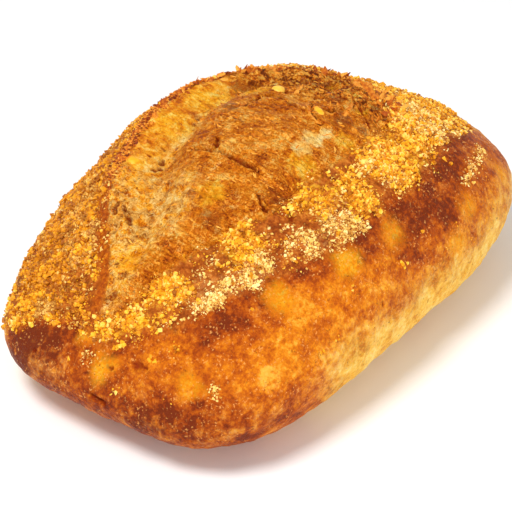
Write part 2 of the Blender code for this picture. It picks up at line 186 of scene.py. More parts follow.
# Where the coating of grits ends, in plan: along the flat side, round the head, the far side.
COAT_EDGE = (
    (-0.1030, 0.0040), (-0.0990, -0.0080), (-0.0945, -0.0160), (-0.0860, -0.0230), (-0.0790, -0.0290),
    (-0.0710, -0.0385), (-0.0590, -0.0440), (-0.0460, -0.0490), (-0.0350, -0.0525), (-0.0230, -0.0555),
    (-0.0050, -0.0560), (0.0100, -0.0560), (0.0220, -0.0570), (0.0350, -0.0565), (0.0480, -0.0545),
    (0.0600, -0.0530), (0.0720, -0.0505), (0.0830, -0.0480), (0.0920, -0.0400), (0.0990, -0.0280),
    (0.1020, -0.0120), (0.1030, 0.0060), (0.1010, 0.0240), (0.0950, 0.0400), (0.0850, 0.0530),
    (0.0700, 0.0620), (0.0500, 0.0680), (0.0250, 0.0705), (0.0000, 0.0705), (-0.0250, 0.0690),
    (-0.0500, 0.0665), (-0.0700, 0.0640), (-0.0880, 0.0610), (-0.0985, 0.0570), (-0.1045, 0.0490),
    (-0.1045, 0.0380), (-0.1018, 0.0270), (-0.1005, 0.0140),
)
COAT_WAVE = 0.0022
COAT_FADE = 0.0016
UPPER_HALF = 0.026

BLOCKS_ALONG = 176
BLOCKS_ACROSS = 120
BLOCKS_UP = 46
FINE_MARGIN = 0.004         # the burst and this much crust round it get cells of half the size

# Fine relief: thickness, length along the strands and rise of fibres; size and rise of the rest.
FIBRES = ((0.0034, 0.0085, 0.00055), (0.0019, 0.0042, 0.00042))
WEB_HOLLOWS = ((0.0075, 0.00090), (0.0034, 0.00055))
CRUST_LUMPS = ((0.0050, 0.00034), (0.0026, 0.00032))
COATED_LUMPS = ((0.0040, 0.00045), (0.0022, 0.00030))
HEAD_LAYER_STEP = 0.0046
HEAD_LAYER_RISE = 0.0025

# Creases where folds of dough meet: points in plan that each runs through, width and depth.
CREASES = (
    (((-0.0251, 0.0184), (-0.0251, 0.0136), (-0.0243, 0.0089), (-0.0241, 0.0039), (-0.0246, -0.0021),
      (-0.0248, -0.0073), (-0.0250, -0.0116)), 0.00082, 0.0022),
    (((0.0070, 0.0142), (0.0150, 0.0163), (0.0207, 0.0162), (0.0248, 0.0126), (0.0213, 0.0056),
      (0.0179, -0.0019), (0.0168, -0.0069)), 0.00060, 0.0012),
    (((-0.0171, 0.0106), (-0.0216, 0.0079)), 0.00055, 0.0013),
    (((-0.0024, 0.0198), (-0.0025, 0.0140), (-0.0031, 0.0084)), 0.00060, 0.0008),
    (((0.0085, 0.0330), (0.0153, 0.0325), (0.0255, 0.0343)), 0.00080, 0.0015),
    (((-0.0582, 0.0293), (-0.0600, 0.0285), (-0.0618, 0.0274)), 0.00060, 0.0013),
    (((-0.0585, 0.0265), (-0.0606, 0.0244), (-0.0621, 0.0214), (-0.0632, 0.0202)), 0.00075, 0.0017),
    (((-0.0343, -0.0197), (-0.0375, -0.0228), (-0.0392, -0.0266)), 0.00055, 0.0014),
    (((-0.0325, -0.0310), (-0.0355, -0.0355)), 0.00070, 0.0014),
    (((0.0275, -0.0048), (0.0210, -0.0075), (0.0166, -0.0110), (0.0144, -0.0144), (0.0136, -0.0169)),
     0.00070, 0.0016),
    (((0.0232, -0.0128), (0.0255, -0.0159), (0.0319, -0.0171)), 0.00085, 0.0022),
    (((0.0590, 0.0191), (0.0523, 0.0109), (0.0527, 0.0072), (0.0510, 0.0032)), 0.00065, 0.0014),
    (((0.0410, -0.0149), (0.0380, -0.0205), (0.0328, -0.0265), (0.0286, -0.0310)), 0.00055, 0.0011),
    (((0.0470, -0.0060), (0.0560, -0.0062), (0.0575, -0.0110), (0.0500, -0.0190)), 0.00065, 0.0015),
    (((0.0420, 0.0300), (0.0500, 0.0200), (0.0520, 0.0080)), 0.00080, 0.0014),
    (((0.0540, 0.0250), (0.0600, 0.0150), (0.0610, 0.0040)), 0.00080, 0.0013),
)
# Pits in plan: middle, radius and depth.
PITS = (
    ((-0.0254, -0.0137), 0.0010, 0.0018), ((-0.0787, 0.0135), 0.0007, 0.0009),
    ((-0.0886, 0.0092), 0.0008, 0.0011), ((-0.0694, 0.0194), 0.0009, 0.0012),
    ((-0.0215, 0.0356), 0.0007, 0.0009), ((-0.0029, 0.0323), 0.0008, 0.0009),
    ((0.0325, 0.0114), 0.0014, 0.0012), ((0.0286, -0.0178), 0.0010, 0.0014),
    ((0.0400, -0.0120), 0.0010, 0.0014), ((-0.0273, 0.0324), 0.0006, 0.0012),
    ((-0.0293, 0.0320), 0.0008, 0.0014), ((-0.0323, 0.0307), 0.0008, 0.0014),
    ((-0.0348, 0.0313), 0.0007, 0.0013), ((-0.0213, 0.0363), 0.0008, 0.0010),
    ((-0.0292, 0.0364), 0.0006, 0.0009), ((-0.0450, 0.0315), 0.0009, 0.0010),
)
# Slits in the crust of the flank and the blunt end: both ends, width and depth.
SLITS = (
    ((-0.1150, -0.0053, 0.0241), (-0.1150, 0.0002, 0.0252), 0.0009, 0.0018),
    ((-0.0285, -0.0727, 0.0433), (-0.0281, -0.0722, 0.0450), 0.0005, 0.0006),
    ((-0.1039, -0.0173, 0.0391), (-0.1040, -0.0110, 0.0391), 0.0006, 0.0009),
    ((-0.1079, -0.0030, 0.0352), (-0.1075, -0.0038, 0.0355), 0.0006, 0.0009),
    ((-0.1068, 0.0064, 0.0362), (-0.1064, 0.0052, 0.0366), 0.0006, 0.0008),
    ((-0.1103, 0.0314, 0.0296), (-0.1101, 0.0307, 0.0299), 0.0006, 0.0008),
)
SLIT_FINE_REACH = 0.0028    # the crust this near to a slit gets cells of a third of the size
BLISTER = ((-0.0755, 0.0325), 0.0036, 0.0009, 0.0013)


def block_form(cube):
    """Places points of a cube from -1 to 1 on the rounded block of bread."""
    x, y, z = np.abs(cube).T
    upper = cube[:, 2] > 0
    widest = WIDEST_SHARE * HEIGHT
    rise = np.where(upper, HEIGHT - widest, widest * BASE_DROP)
    section = np.where(upper, CROWN_SQUARENESS, BELLY_SQUARENESS)
    plan = np.where(cube[:, 0] > 0, ROUND_END_SQUARENESS, BLUNT_END_SQUARENESS)
    size = ((x**plan + y**plan) ** (section / plan) + z**section) ** (-1 / section)
    along = cube[:, 0] * size
    across = cube[:, 1] * size
    height = np.maximum(widest + rise * cube[:, 2] * size, 0)
    off_crown = along - CROWN_SHIFT
    fall = np.where(off_crown > 0, ROUND_END_FALL, BLUNT_END_FALL)
    height = height * (1 - fall * np.abs(off_crown) ** END_FALL_POWER)
    across = across * (1 + WIDTH_TAPER * along)
    return np.stack([along * LENGTH / 2, across * WIDTH / 2, height], axis=1)


def soft_noise(points, seed):
    """Smooth noise from -1 to 1 whose lumps are about one unit of points across."""
    corner = np.floor(points).astype(np.int64)
    inside = points - corner
    inside = inside * inside * (3 - 2 * inside)
    total = np.zeros(len(points))
    for step in itertools.product((0, 1), repeat=3):
        i, j, k = (corner + step).T
        mixed = i * 374761393 + j * 668265263 + k * 1440662683 + seed * 1274126177
        mixed = (mixed ^ (mixed >> 13)) * 1103515245 & 0x7FFFFFFFFFFF
        mixed = mixed ^ (mixed >> 16)
        weight = np.where(step, inside, 1 - inside).prod(axis=1)
        total += weight * ((mixed & 0xFFFF) / 32767.5 - 1)
    return total


def smooth_loop(points):
    """A closed line through the given points, rounded between them."""
    before, here, after, beyond = (np.roll(points, shift, axis=0)[:, None] for shift in (1, 0, -1, -2))
    share = np.arange(EDGE_STEPS)[None, :, None] / EDGE_STEPS
    bend = 2 * here + (after - before) * share
    bend = bend + (2 * before - 5 * here + 4 * after - beyond) * share**2
    bend = bend + (3 * here - before - 3 * after + beyond) * share**3
    return bend.reshape(-1, 2) / 2


def inward_distance(plan, loop):
    """Metres from points in plan to a closed line: positive inside it, negative outside."""
    nearest = np.full(len(plan), np.inf)
    inside = np.zeros(len(plan), dtype=bool)
    x, y = plan.T
    for start, end in zip(loop, np.roll(loop, -1, axis=0)):
        run = end - start
        share = np.clip(((plan - start) @ run) / (run @ run), 0, 1)
        off = plan - start - np.outer(share, run)
        nearest = np.minimum(nearest, (off * off).sum(axis=1))
        passed = (start[1] > y) != (end[1] > y)
        inside ^= passed & (x < start[0] + (y - start[1]) / (run[1] or 1) * run[0])
    return np.where(inside, 1, -1) * np.sqrt(nearest)


def cut_place(plan):
    """Share of the way along the cut, and metres across it (+ is the ear's side)."""
    line = np.array(CUT_HEAD) - np.array(CUT_TIP)
    length = np.hypot(*line)
    ahead = line / length
    off_tip = plan - CUT_TIP
    return off_tip @ ahead / length, off_tip @ np.array((-ahead[1], ahead[0]))


def line_distance(points, line):
    """Distance of each point to the nearest straight piece of a line through the given points."""
    line = np.array(line)
    nearest = np.full(len(points), np.inf)
    for start, end in zip(line[:-1], line[1:]):
        run = end - start
        share = np.clip((points - start) @ run / (run @ run), 0, 1)
        nearest = np.minimum(nearest, np.linalg.norm(points - start - np.outer(share, run), axis=1))
    return nearest


def bump(distance, reach):
    return np.exp(-((distance / reach) ** 2))


def rise_between(value, low, high):
    """0 below low and 1 above high, with a soft step between; low may be the larger of the two."""
    share = np.clip((value - low) / (high - low), 0, 1)
    return share * share * (3 - 2 * share)


def burst_relief(points, upward, edge):
    """Rise of the mound, the valley, the ear and the torn layers over the rounded block."""
    share, across = cut_place(points[:, :2])
    opened = np.clip(1 - np.abs(2 * share - 1) ** OPENING_POWER, 0, 1)
    within = np.clip(edge / BURST_SIDE_STEP + 0.5, 0, 1)
    on_ear_side = np.clip(across / EAR_SIDE_STEP, 0, 1)

    relief = MOUND_RISE * bump(across, MOUND_REACH) * within * opened
    relief -= VALLEY_DEPTH * bump(edge - VALLEY_FROM_EAR, VALLEY_REACH) * within * opened * on_ear_side
    ear_height = bump(share - EAR_MIDDLE, EAR_SPREAD)
    ear_reach = np.where(edge > 0, EAR_REACH_INSIDE, EAR_REACH_OUTSIDE)
    relief += EAR_RISE * bump(edge, ear_reach) * on_ear_side * ear_height
    relief -= SEAM_DEPTH * bump(edge - SEAM_REACH, SEAM_REACH) * (1 - on_ear_side) * within

    layered = np.clip((share - LAYERS_START) / LAYERS_FADE, 0, 1) * within
    layered *= np.clip((across + LAYERS_SHIFT) / LAYERS_WIDTH, 0, 1)
    wander = LAYERS_WANDER * soft_noise(points / LAYERS_WANDER_SIZE, 5)
    layer = (across + LAYERS_SLANT * (points[:, 0] - CUT_HEAD[0])) / LAYER_STEP + wander
    relief += LAYER_RISE * layered * (layer - np.floor(layer) - 0.5)

    pulled = points / (STRAND_ACROSS, STRAND_ALONG, STRAND_ALONG)
    relief += STRAND_RISE * soft_noise(pulled, 9) * within
    return relief * upward


def crust_relief(points):
    """Swellings and lumps over the whole loaf, none of them on its flat base."""
    relief = np.zeros(len(points))
    for middle, reach, rise in SWELLINGS:
        relief += rise * bump(np.linalg.norm(points - middle, axis=1), reach)
    for seed, (size, rise) in enumerate(LUMP_SIZES_AND_RISES, start=1):
        relief += rise * soft_noise(points / size, seed)
    return relief * np.clip(points[:, 2] / BASE_FREE_HEIGHT, 0, 1)


def coating_depth(points):
    """1 inside the wavy line where the coating of grits ends, and 0 outside it."""
    wave = COAT_WAVE * soft_noise(points / 0.012, 31) + COAT_WAVE * soft_noise(points / 0.005, 32)
    inside = inward_distance(points[:, :2], smooth_loop(COAT_EDGE)) + wave
    upper = rise_between(points[:, 2], UPPER_HALF, UPPER_HALF + 0.006)
    return rise_between(inside, -COAT_FADE, COAT_FADE) * upper


def zones(points, edge):
    """How far each point belongs to each kind of surface of the loaf, from 0 to 1."""
    share, across = cut_place(points[:, :2])
    top = rise_between(points[:, 2], UPPER_HALF, UPPER_HALF + 0.010)
    ragged = 0.0012 * soft_noise(points / 0.0035, 41) + 0.0007 * soft_noise(points / 0.0014, 42)
    burst = rise_between(edge + ragged, -0.0006, 0.0010) * top
    ear_side = rise_between(across, 0.002, 0.012)
    wander = 0.0030 * soft_noise(points / 0.012, 43)
    head = burst * rise_between(share + 0.05 * soft_noise(points / 0.010, 45), 0.78, 0.86)
    face = burst * ear_side * rise_between(edge + wander, VALLEY_FROM_EAR + 0.002, VALLEY_FROM_EAR - 0.003)
    face *= rise_between(share, 0.24, 0.36) * (1 - head)
    web = burst * rise_between(share + 0.05 * soft_noise(points / 0.014, 44), 0.42, 0.30)
    web *= rise_between(across + 0.0035 * soft_noise(points / 0.009, 46), -0.004, 0.004)
    valley = burst * ear_side * bump(edge - VALLEY_FROM_EAR + wander, 0.0040)
    web = np.maximum(web, 0.9 * valley * rise_between(share, 0.80, 0.66))
    coat = coating_depth(points) * (1 - burst)
    return {"burst": burst, "face": face, "web": web, "head": head, "coat": coat}


def fold_profile(distance, width, depth):
    """A crease with a raised lip: deep at its line, and a little proud beside it."""
    return depth * (0.40 * bump(distance - 2.4 * width, 1.4 * width) - bump(distance, width))


def fine_relief(points, upward, zone):
    """Fibres, hollows, creases, pits and blisters over the main form; and where to paint shade in its
    creases, pits, slits, blister and torn layers.
    """
    plan = points[:, :2]
    burst, web, coat = zone["burst"], zone["web"], zone["coat"]
    warp = 0.0022 * np.stack([soft_noise(points / 0.0060, seed) for seed in (51, 52, 53)], axis=1)
    relief = np.zeros(len(points))
    hollow_shade = np.zeros(len(points))
    for seed, (thin, long, rise) in enumerate(FIBRES, start=61):
        ridge = 1 - 2 * np.abs(soft_noise((points + warp) / (thin, long, long), seed))
        relief += rise * ridge * burst * (1 - 0.6 * zone["face"]) * (1 - 0.4 * web)
    for seed, (size, rise) in enumerate(WEB_HOLLOWS, start=64):
        relief -= rise * (2 * np.abs(soft_noise((points + warp) / size, seed)) - 0.6) * web
    for seed, (size, rise) in enumerate(CRUST_LUMPS, start=67):
        relief += rise * soft_noise(points / size, seed) * (1 - burst)
    for seed, (size, rise) in enumerate(COATED_LUMPS, start=70):
        relief += rise * soft_noise(points / size, seed) * coat

    share, across = cut_place(plan)
    wander = 0.7 * soft_noise(points / 0.007, 74) + 0.3 * soft_noise(points / 0.0028, 75)
    layer = (across + 0.6 * (points[:, 0] - CUT_HEAD[0])) / HEAD_LAYER_STEP + wander
    torn = layer - np.floor(layer)
    relief += HEAD_LAYER_RISE * (torn - 0.5) * zone["head"]
    hollow_shade = np.maximum(hollow_shade, 0.85 * rise_between(torn, 0.22, 0.06) * zone["head"])

    wobble = 0.0007 * soft_noise(points / 0.0035, 76) + 0.0006 * soft_noise(points / 0.0013, 77)
    for line, width, depth in CREASES:
        distance = line_distance(plan, line) + wobble * width / 0.0009
        relief += fold_profile(distance, width, depth) * upward
        hollow_shade = np.maximum(hollow_shade, rise_between(distance, 1.4 * width, 0.5 * width))
    for middle, radius, depth in PITS:
        distance = np.linalg.norm(plan - middle, axis=1) + wobble
        relief -= depth * bump(distance, radius) * upward
        hollow_shade = np.maximum(hollow_shade, rise_between(distance, 1.25 * radius, 0.6 * radius))
    for *ends, width, depth in SLITS:
        on_crust = [points[np.argmin(np.linalg.norm(points - end, axis=1))] for end in ends]
        distance = line_distance(points, on_crust) + wobble / 2
        relief -= depth * bump(distance, width)
        hollow_shade = np.maximum(hollow_shade, rise_between(distance, 1.3 * width, 0.5 * width))
    middle, radius, rise, dip = BLISTER
    distance = np.linalg.norm(plan - middle, axis=1) + wobble
    relief += (rise * bump(distance - radius, radius / 3) - dip * bump(distance, radius / 2)) * upward
    hollow_shade = np.maximum(hollow_shade, 0.9 * rise_between(distance, 0.7 * radius, 0.45 * radius) * upward)
    return relief * np.clip(points[:, 2] / BASE_FREE_HEIGHT, 0, 1), hollow_shade


def divided_cube():
    """A cube from -1 to 1, divided into as many blocks along each axis as the loaf needs."""
    shape = bmesh.new()
    bmesh.ops.create_cube(shape, size=2.0)
    for axis, blocks in enumerate((BLOCKS_ALONG, BLOCKS_ACROSS, BLOCKS_UP)):
        along_axis = [e for e in shape.edges if abs(e.verts[0].co[axis] - e.verts[1].co[axis]) > 1]
        bmesh.ops.subdivide_edges(shape, edges=along_axis, cuts=blocks - 1, use_grid_fill=True)
    return shape


def corners_of(shape):
    return np.array([corner.co for corner in shape.verts])


def block_points(shape):
    """Where the cube's points lie on the block, drawn in so that cells come out alike in size."""
    return block_form(np.tan(corners_of(shape) * math.pi / 4))


def burst_distance(plan):
    return inward_distance(plan, smooth_loop(BURST_EDGE))


def refine(shape, fine, cuts):
    """Divides the cells whose corners are all marked as fine."""
    shape.verts.index_update()
    split = [edge for edge in shape.edges if all(fine[corner.index] for corner in edge.verts)]
    bmesh.ops.subdivide_edges(shape, edges=split, cuts=cuts, use_grid_fill=True)


def refine_slits(shape):
    """Makes the cells round the slits fine enough for their narrow dark openings."""
    points = block_points(shape)
    near = np.zeros(len(points), dtype=bool)
    for start, end, _, _ in SLITS:
        near |= line_distance(points, (start, end)) < SLIT_FINE_REACH
    refine(shape, near, 2)


def refine_burst(shape):
    """Halves the cells of the burst, for its fibres, creases and pits."""
    top = corners_of(shape)[:, 2] > 0.999
    refine(shape, top & (burst_distance(block_points(shape)[:, :2]) > -FINE_MARGIN), 1)


def open_base(shape):
    """Merges the cells of the flat base and cuts them up anew, as nothing is seen of it."""
    height = block_points(shape)[:, 2]
    shape.verts.index_update()
    base = [face for face in shape.faces if all(height[corner.index] < 1e-7 for corner in face.verts)]
    bmesh.ops.dissolve_faces(shape, faces=base, use_verts=True)
    bmesh.ops.triangulate(shape, faces=[face for face in shape.faces if len(face.verts) > 4])


def paint(mesh, name, values):
    """Keeps a number for each point of a mesh, for its material to read."""
    layer = mesh.attributes.new(name, "FLOAT", "POINT")
    layer.data.foreach_set("value", np.asarray(values, dtype=np.float32))


body_shape = divided_cube()
refine_slits(body_shape)
refine_burst(body_shape)
open_base(body_shape)
body_block = block_points(body_shape)
for corner, point in zip(body_shape.verts, body_block):
    corner.co = point
body_shape.normal_update()
body_normals = np.array([corner.normal for corner in body_shape.verts])
body_upward = np.clip(body_normals[:, 2] * 2, 0, 1)
body_edge = burst_distance(body_block[:, :2])
body_zone = zones(body_block, body_edge)
body_rise = burst_relief(body_block, body_upward, body_edge) + crust_relief(body_block)
body_fine, body_hollow_shade = fine_relief(body_block, body_upward, body_zone)
body_form = body_block + body_normals * body_rise[:, None]
body_points = body_form + body_normals * body_fine[:, None]
body_points[:, :2] -= (body_form.min(axis=0) + body_form.max(axis=0))[:2] / 2
body_points[body_block[:, 2] < 1e-7, 2] = 0
body_points[:, 2] = np.maximum(body_points[:, 2], 0)
for corner, point in zip(body_shape.verts, body_points):
    corner.co = point
body_mesh = bpy.data.meshes.new("loaf_crust")
body_shape.to_mesh(body_mesh)
body_shape.free()
body_mesh.shade_smooth()
loaf_crust = into_scene(bpy.data.objects.new("loaf_crust", body_mesh))

# ==== The finish of crust and torn dough ===================================================
# Shade in creases, pits, cracks, pores and between the grits, and glints on the crust, are painted into these
# colours.
# Baked crust is reddish brown on the shoulders and at the blunt end, orange to golden on the
# flanks, and pale towards the base, where the dough stayed soft. The torn dough is tan, with
# brown fibres drawn across the burst, a smooth golden face under the ear, and a pale web.
# Each blotch: middle, radius and strength.
GOLDEN_BLOTCHES = (
    ((-0.063, -0.049, 0.059), 0.0060, 0.80),
    ((-0.034, -0.059, 0.061), 0.0072, 0.95),
    ((-0.006, -0.064, 0.060), 0.0062, 0.75),
    ((0.037, -0.072, 0.052), 0.0060, 0.70),
    ((0.022, -0.076, 0.044), 0.0065, 0.70),
    ((-0.102, -0.036, 0.038), 0.0045, 0.75),
    ((-0.1083, 0.0010, 0.0348), 0.0060, 0.95),
    ((-0.1028, 0.0129, 0.0398), 0.0050, 0.80),
    ((-0.052, -0.032, 0.070), 0.0060, 0.60),
    ((0.004, -0.044, 0.073), 0.0060, 0.60),
    ((0.072, -0.070, 0.046), 0.0060, 0.70),
    ((0.100, 0.030, 0.040), 0.0080, 0.60),
    ((0.060, 0.076, 0.036), 0.0080, 0.70),
    ((0.010, 0.077, 0.030), 0.0070, 0.60),
    ((-0.050, 0.066, 0.030), 0.0070, 0.60),
)
# Stretches of crust that the oven browned most: middle, reach and strength.
BROWNINGS = (
    ((-0.0860, -0.0287, 0.0524), 0.010, 0.40),
    ((-0.0780, -0.0390, 0.0555), 0.012, 0.45),
    ((-0.0654, -0.0423, 0.0613), 0.010, 0.40),
    ((-0.0513, -0.0453, 0.0653), 0.011, 0.40),
    ((-0.0353, -0.0528, 0.0656), 0.010, 0.35),
    ((-0.0200, -0.0575, 0.0645), 0.011, 0.45),
    ((-0.0010, -0.0630, 0.0605), 0.010, 0.45),
    ((0.0130, -0.0640, 0.0600), 0.012, 0.45),
    ((0.0325, -0.0615, 0.0625), 0.014, 0.60),
    ((0.0560, -0.0560, 0.0625), 0.016, 0.60),
    ((0.0760, -0.0480, 0.0580), 0.014, 0.45),
    ((-0.0840, -0.0600, 0.0200), 0.020, 0.25),
    ((-0.1040, -0.0450, 0.0220), 0.020, 0.35),
    ((-0.1100, -0.0200, 0.0180), 0.020, 0.40),
    ((-0.1130, 0.0200, 0.0220), 0.020, 0.45),
    ((-0.1090, 0.0400, 0.0280), 0.012, 0.55),
    ((-0.1080, 0.0280, 0.0330), 0.010, 0.50),
    ((0.1050, 0.0100, 0.0300), 0.022, 0.30),
    ((0.0300, 0.0780, 0.0400), 0.022, 0.30),
    ((-0.0300, 0.0740, 0.0340), 0.020, 0.30),
)
PALE_TOP = 0.055            # the flanks fade to pale dough from this height down
PALE_LOW = 0.020
# Drifts of crumbs, which tint the crust that they lie on: middle, reach and strength.
GOLDEN_DRIFTS = (
    ((-0.084, 0.036, 0.051), 0.020, 1.2),
    ((-0.098, 0.036, 0.042), 0.012, 1.2),
    ((-0.060, 0.048, 0.060), 0.022, 1.2),
    ((-0.0985, 0.0045, 0.0428), 0.0060, 1.0),
    ((-0.0925, -0.0051, 0.0477), 0.0060, 1.1),
    ((-0.0798, -0.0099, 0.0567), 0.0060, 2.2),
    ((-0.0789, -0.0056, 0.0576), 0.0040, 1.2),
    ((-0.0560, -0.0275, 0.0692), 0.0058, 2.6),
    ((-0.0544, -0.0214, 0.0699), 0.0050, 2.0),
    ((-0.0259, -0.0332, 0.0754), 0.0060, 1.3),
    ((-0.0188, -0.0376, 0.0748), 0.0070, 1.5),
    ((-0.0055, -0.0479, 0.0708), 0.0050, 2.2),
    ((-0.0048, -0.0424, 0.0738), 0.0060, 1.4),
    ((0.0178, -0.0445, 0.0738), 0.0100, 1.6),
    ((0.0289, -0.0448, 0.0725), 0.0100, 1.7),
    ((0.0400, -0.0437, 0.0717), 0.0100, 1.6),
    ((0.050, -0.029, 0.073), 0.006, 1.5),
    ((0.074, -0.020, 0.064), 0.016, 1.1),
    ((0.080, 0.020, 0.058), 0.024, 0.9),
    ((0.020, 0.066, 0.056), 0.030, 0.8),
    ((0.060, 0.056, 0.054), 0.024, 0.8),
    ((-0.030, 0.062, 0.056), 0.024, 0.9),
)
PALE_DRIFTS = (
    ((-0.0749, -0.0256, 0.0602), 0.0070, 1.9),
    ((-0.0761, -0.0318, 0.0589), 0.0050, 1.5),
    ((-0.0640, -0.0360, 0.0638), 0.0060, 1.4),
    ((-0.0595, -0.0383, 0.0652), 0.0050, 1.0),
    ((-0.0416, -0.0456, 0.0683), 0.0060, 0.8),
    ((-0.0348, -0.0488, 0.0683), 0.0060, 0.9),
    ((-0.0238, -0.0499, 0.0691), 0.0060, 1.1),
    ((-0.0210, -0.0530, 0.0670), 0.0050, 0.9),
    ((0.0126, -0.0444, 0.0738), 0.0070, 1.2),
    ((0.0127, -0.0523, 0.0701), 0.0050, 1.3),
    ((0.0610, -0.0456, 0.0657), 0.0085, 1.0),
    ((0.0622, -0.0348, 0.0680), 0.0100, 1.15),
    ((0.0647, -0.0262, 0.0686), 0.0090, 1.0),
    ((-0.058, 0.047, 0.061), 0.016, 0.9),
    ((-0.076, 0.033, 0.058), 0.010, 0.8),
    ((-0.100, 0.034, 0.040), 0.006, 0.6),
    ((0.050, 0.062, 0.050), 0.016, 0.7),
    ((0.000, 0.072, 0.044), 0.016, 0.6),
    ((0.086, 0.020, 0.052), 0.014, 0.7),
)
# Pale floury, yellow and dark places of the torn dough: middle in plan, and reach.
FLOURY_PLACES = (
    ((-0.004, -0.019), 0.0035), ((0.004, -0.019), 0.0040), ((0.011, -0.021), 0.0025),
    ((0.040, 0.024), 0.0030), ((-0.058, 0.012), 0.0030),
)
YELLOW_PLACES = (
    ((-0.036, 0.038), 0.0030), ((-0.006, 0.041), 0.0090), ((0.018, 0.041), 0.0090),
    ((0.030, 0.024), 0.0060), ((0.014, -0.028), 0.0050), ((-0.042, -0.004), 0.0060),
    ((-0.0765, 0.0104), 0.0050), ((0.047, -0.0134), 0.0028), ((0.040, 0.024), 0.0040),
    ((0.036, -0.022), 0.0030), ((0.056, 0.004), 0.0030), ((-0.011, -0.024), 0.0065),
)
DARK_PLACES = (
    ((0.0227, -0.0215), 0.0050), ((0.035, -0.010), 0.0045), ((0.036, 0.036), 0.0060),
    ((0.055, 0.010), 0.0080), ((-0.030, -0.026), 0.0050), ((-0.052, -0.010), 0.0050),
    ((0.006, 0.020), 0.0050), ((0.046, -0.026), 0.0040), ((0.025, -0.029), 0.0030),
)


def srgb(red, green, blue):
    """A colour as a linear RGBA, from its 8-bit values on screen."""
    linear = []
    for level in (red, green, blue):
        share = level / 255
        linear.append(share / 12.92 if share <= 0.04045 else ((share + 0.055) / 1.055) ** 2.4)
    return (*linear, 1.0)


def fill(tree, socket, value):
    """Links a node's input to another node, or sets it."""
    if isinstance(value, bpy.types.NodeSocket):
        tree.links.new(value, socket)
    else:
        socket.default_value = value


def add_node(tree, kind, settings=None, **inputs):
    """A shader node, with its settings, and its inputs linked or set."""
    made = tree.nodes.new(kind)
    for name, value in (settings or {}).items():
        setattr(made, name, value)
    for name, value in inputs.items():
        fill(tree, made.inputs[name.replace("_", " ")], value)
    return made


def painted(tree, name):
    return add_node(tree, "ShaderNodeAttribute", {"attribute_name": name}).outputs["Fac"]


def grain(tree, size, detail=2.0, roughness=0.5, stretch=(1, 1, 1), distortion=0.0):
    """Cloudy noise from 0 to 1 with lumps of about the given size in metres."""
    place = add_node(tree, "ShaderNodeTexCoord").outputs["Object"]
    drawn = add_node(tree, "ShaderNodeMapping", {"vector_type": "POINT"}, Vector=place, Scale=stretch)
    return add_node(
        tree, "ShaderNodeTexNoise", Vector=drawn.outputs["Vector"], Scale=1 / size, Detail=detail,
        Roughness=roughness, Distortion=distortion).outputs["Fac"]


def soft_step(tree, value, low, high):
    """0 below low and 1 above high."""
    return add_node(
        tree, "ShaderNodeMapRange", {"interpolation_type": "SMOOTHSTEP"}, Value=value,
        From_Min=low, From_Max=high).outputs["Result"]


def maths(tree, operation, first, second):
    made = add_node(tree, "ShaderNodeMath", {"operation": operation})
    fill(tree, made.inputs[0], first)
    fill(tree, made.inputs[1], second)
    return made.outputs[0]


def times(tree, first, second):
    return maths(tree, "MULTIPLY", first, second)


def swayed(tree, level, *noises):
    """A level moved up and down by noises, each given with its weight."""
    for noise, weight in noises:
        level = maths(tree, "ADD", level, times(tree, maths(tree, "SUBTRACT", noise, 0.5), weight))
    return level


def colours(tree, value, *stops):
    """A colour for each value, through stops of position and 8-bit colour."""
    made = add_node(tree, "ShaderNodeValToRGB", Fac=value)
    ramp = made.color_ramp.elements
    while len(ramp) < len(stops):
        ramp.new(1.0)
    for element, (position, colour) in zip(ramp, stops):
        element.position = position
        element.color = srgb(*colour)
    return made.outputs["Color"]


def over(tree, under, colour, share):
    """Lays a colour over another one, as far as share says."""
    made = add_node(tree, "ShaderNodeMix", {"data_type": "RGBA"})
    sockets = {socket.identifier: socket for socket in made.inputs}
    fill(tree, sockets["Factor_Float"], share)
    fill(tree, sockets["A_Color"], under)
    fill(tree, sockets["B_Color"], colour)
    return next(socket for socket in made.outputs if socket.identifier == "Result_Color")


def stained(tree, under, colour, name, noises, low, high, share):
    """Lays a colour over the painted places of the given name, with edges made ragged by noises."""
    level = swayed(tree, painted(tree, name), *noises)
    return over(tree, under, colour, times(tree, soft_step(tree, level, low, high), share))


def bumped(tree, height, depth, under=None):
    """A normal with relief of the given depth in metres, over another relief if there is one."""
    made = add_node(tree, "ShaderNodeBump", Height=height, Distance=depth)
    made.inputs["Strength"].default_value = 1.0
    if under is not None:
        tree.links.new(under, made.inputs["Normal"])
    return made.outputs["Normal"]


def new_finish(name, roughness, shine):
    """A material, its node tree and its Principled shader."""
    material = bpy.data.materials.new(name)
    material.use_nodes = True
    surface = material.node_tree.nodes["Principled BSDF"]
    surface.inputs["Roughness"].default_value = roughness
    surface.inputs["Specular IOR Level"].default_value = shine
    return material, material.node_tree, surface


def browning(points):
    """How dark the oven baked the crust, from 0 to 1."""
    level = 0.37 + 0.16 * soft_noise(points / 0.020, 81) + 0.12 * soft_noise(points / 0.008, 82)
    for middle, reach, strength in BROWNINGS:
        level += strength * bump(np.linalg.norm(points - middle, axis=1), reach)
    return np.clip(level, 0, 1)


def golden(points):
    """Soft round places where the crust stayed golden over a bubble of the dough."""
    wander = 0.0026 * soft_noise(points / 0.006, 83) + 0.0012 * soft_noise(points / 0.0022, 85)
    level = np.zeros(len(points))
    for middle, radius, strength in GOLDEN_BLOTCHES:
        distance = np.linalg.norm(points - middle, axis=1) + wander
        level = np.maximum(level, strength * rise_between(distance, radius * 1.8, radius * 0.1))
    return level


def paleness(points):
    """1 on the soft pale dough of the lower flanks, and 0 on well-baked crust."""
    height = points[:, 2] + 0.006 * soft_noise(points / 0.018, 84)
    pale = rise_between(height, PALE_TOP, PALE_LOW)
    blunt_end = rise_between(points[:, 0] + 0.35 * points[:, 1], -0.094, -0.066)
    return pale * (0.12 + 0.88 * blunt_end)


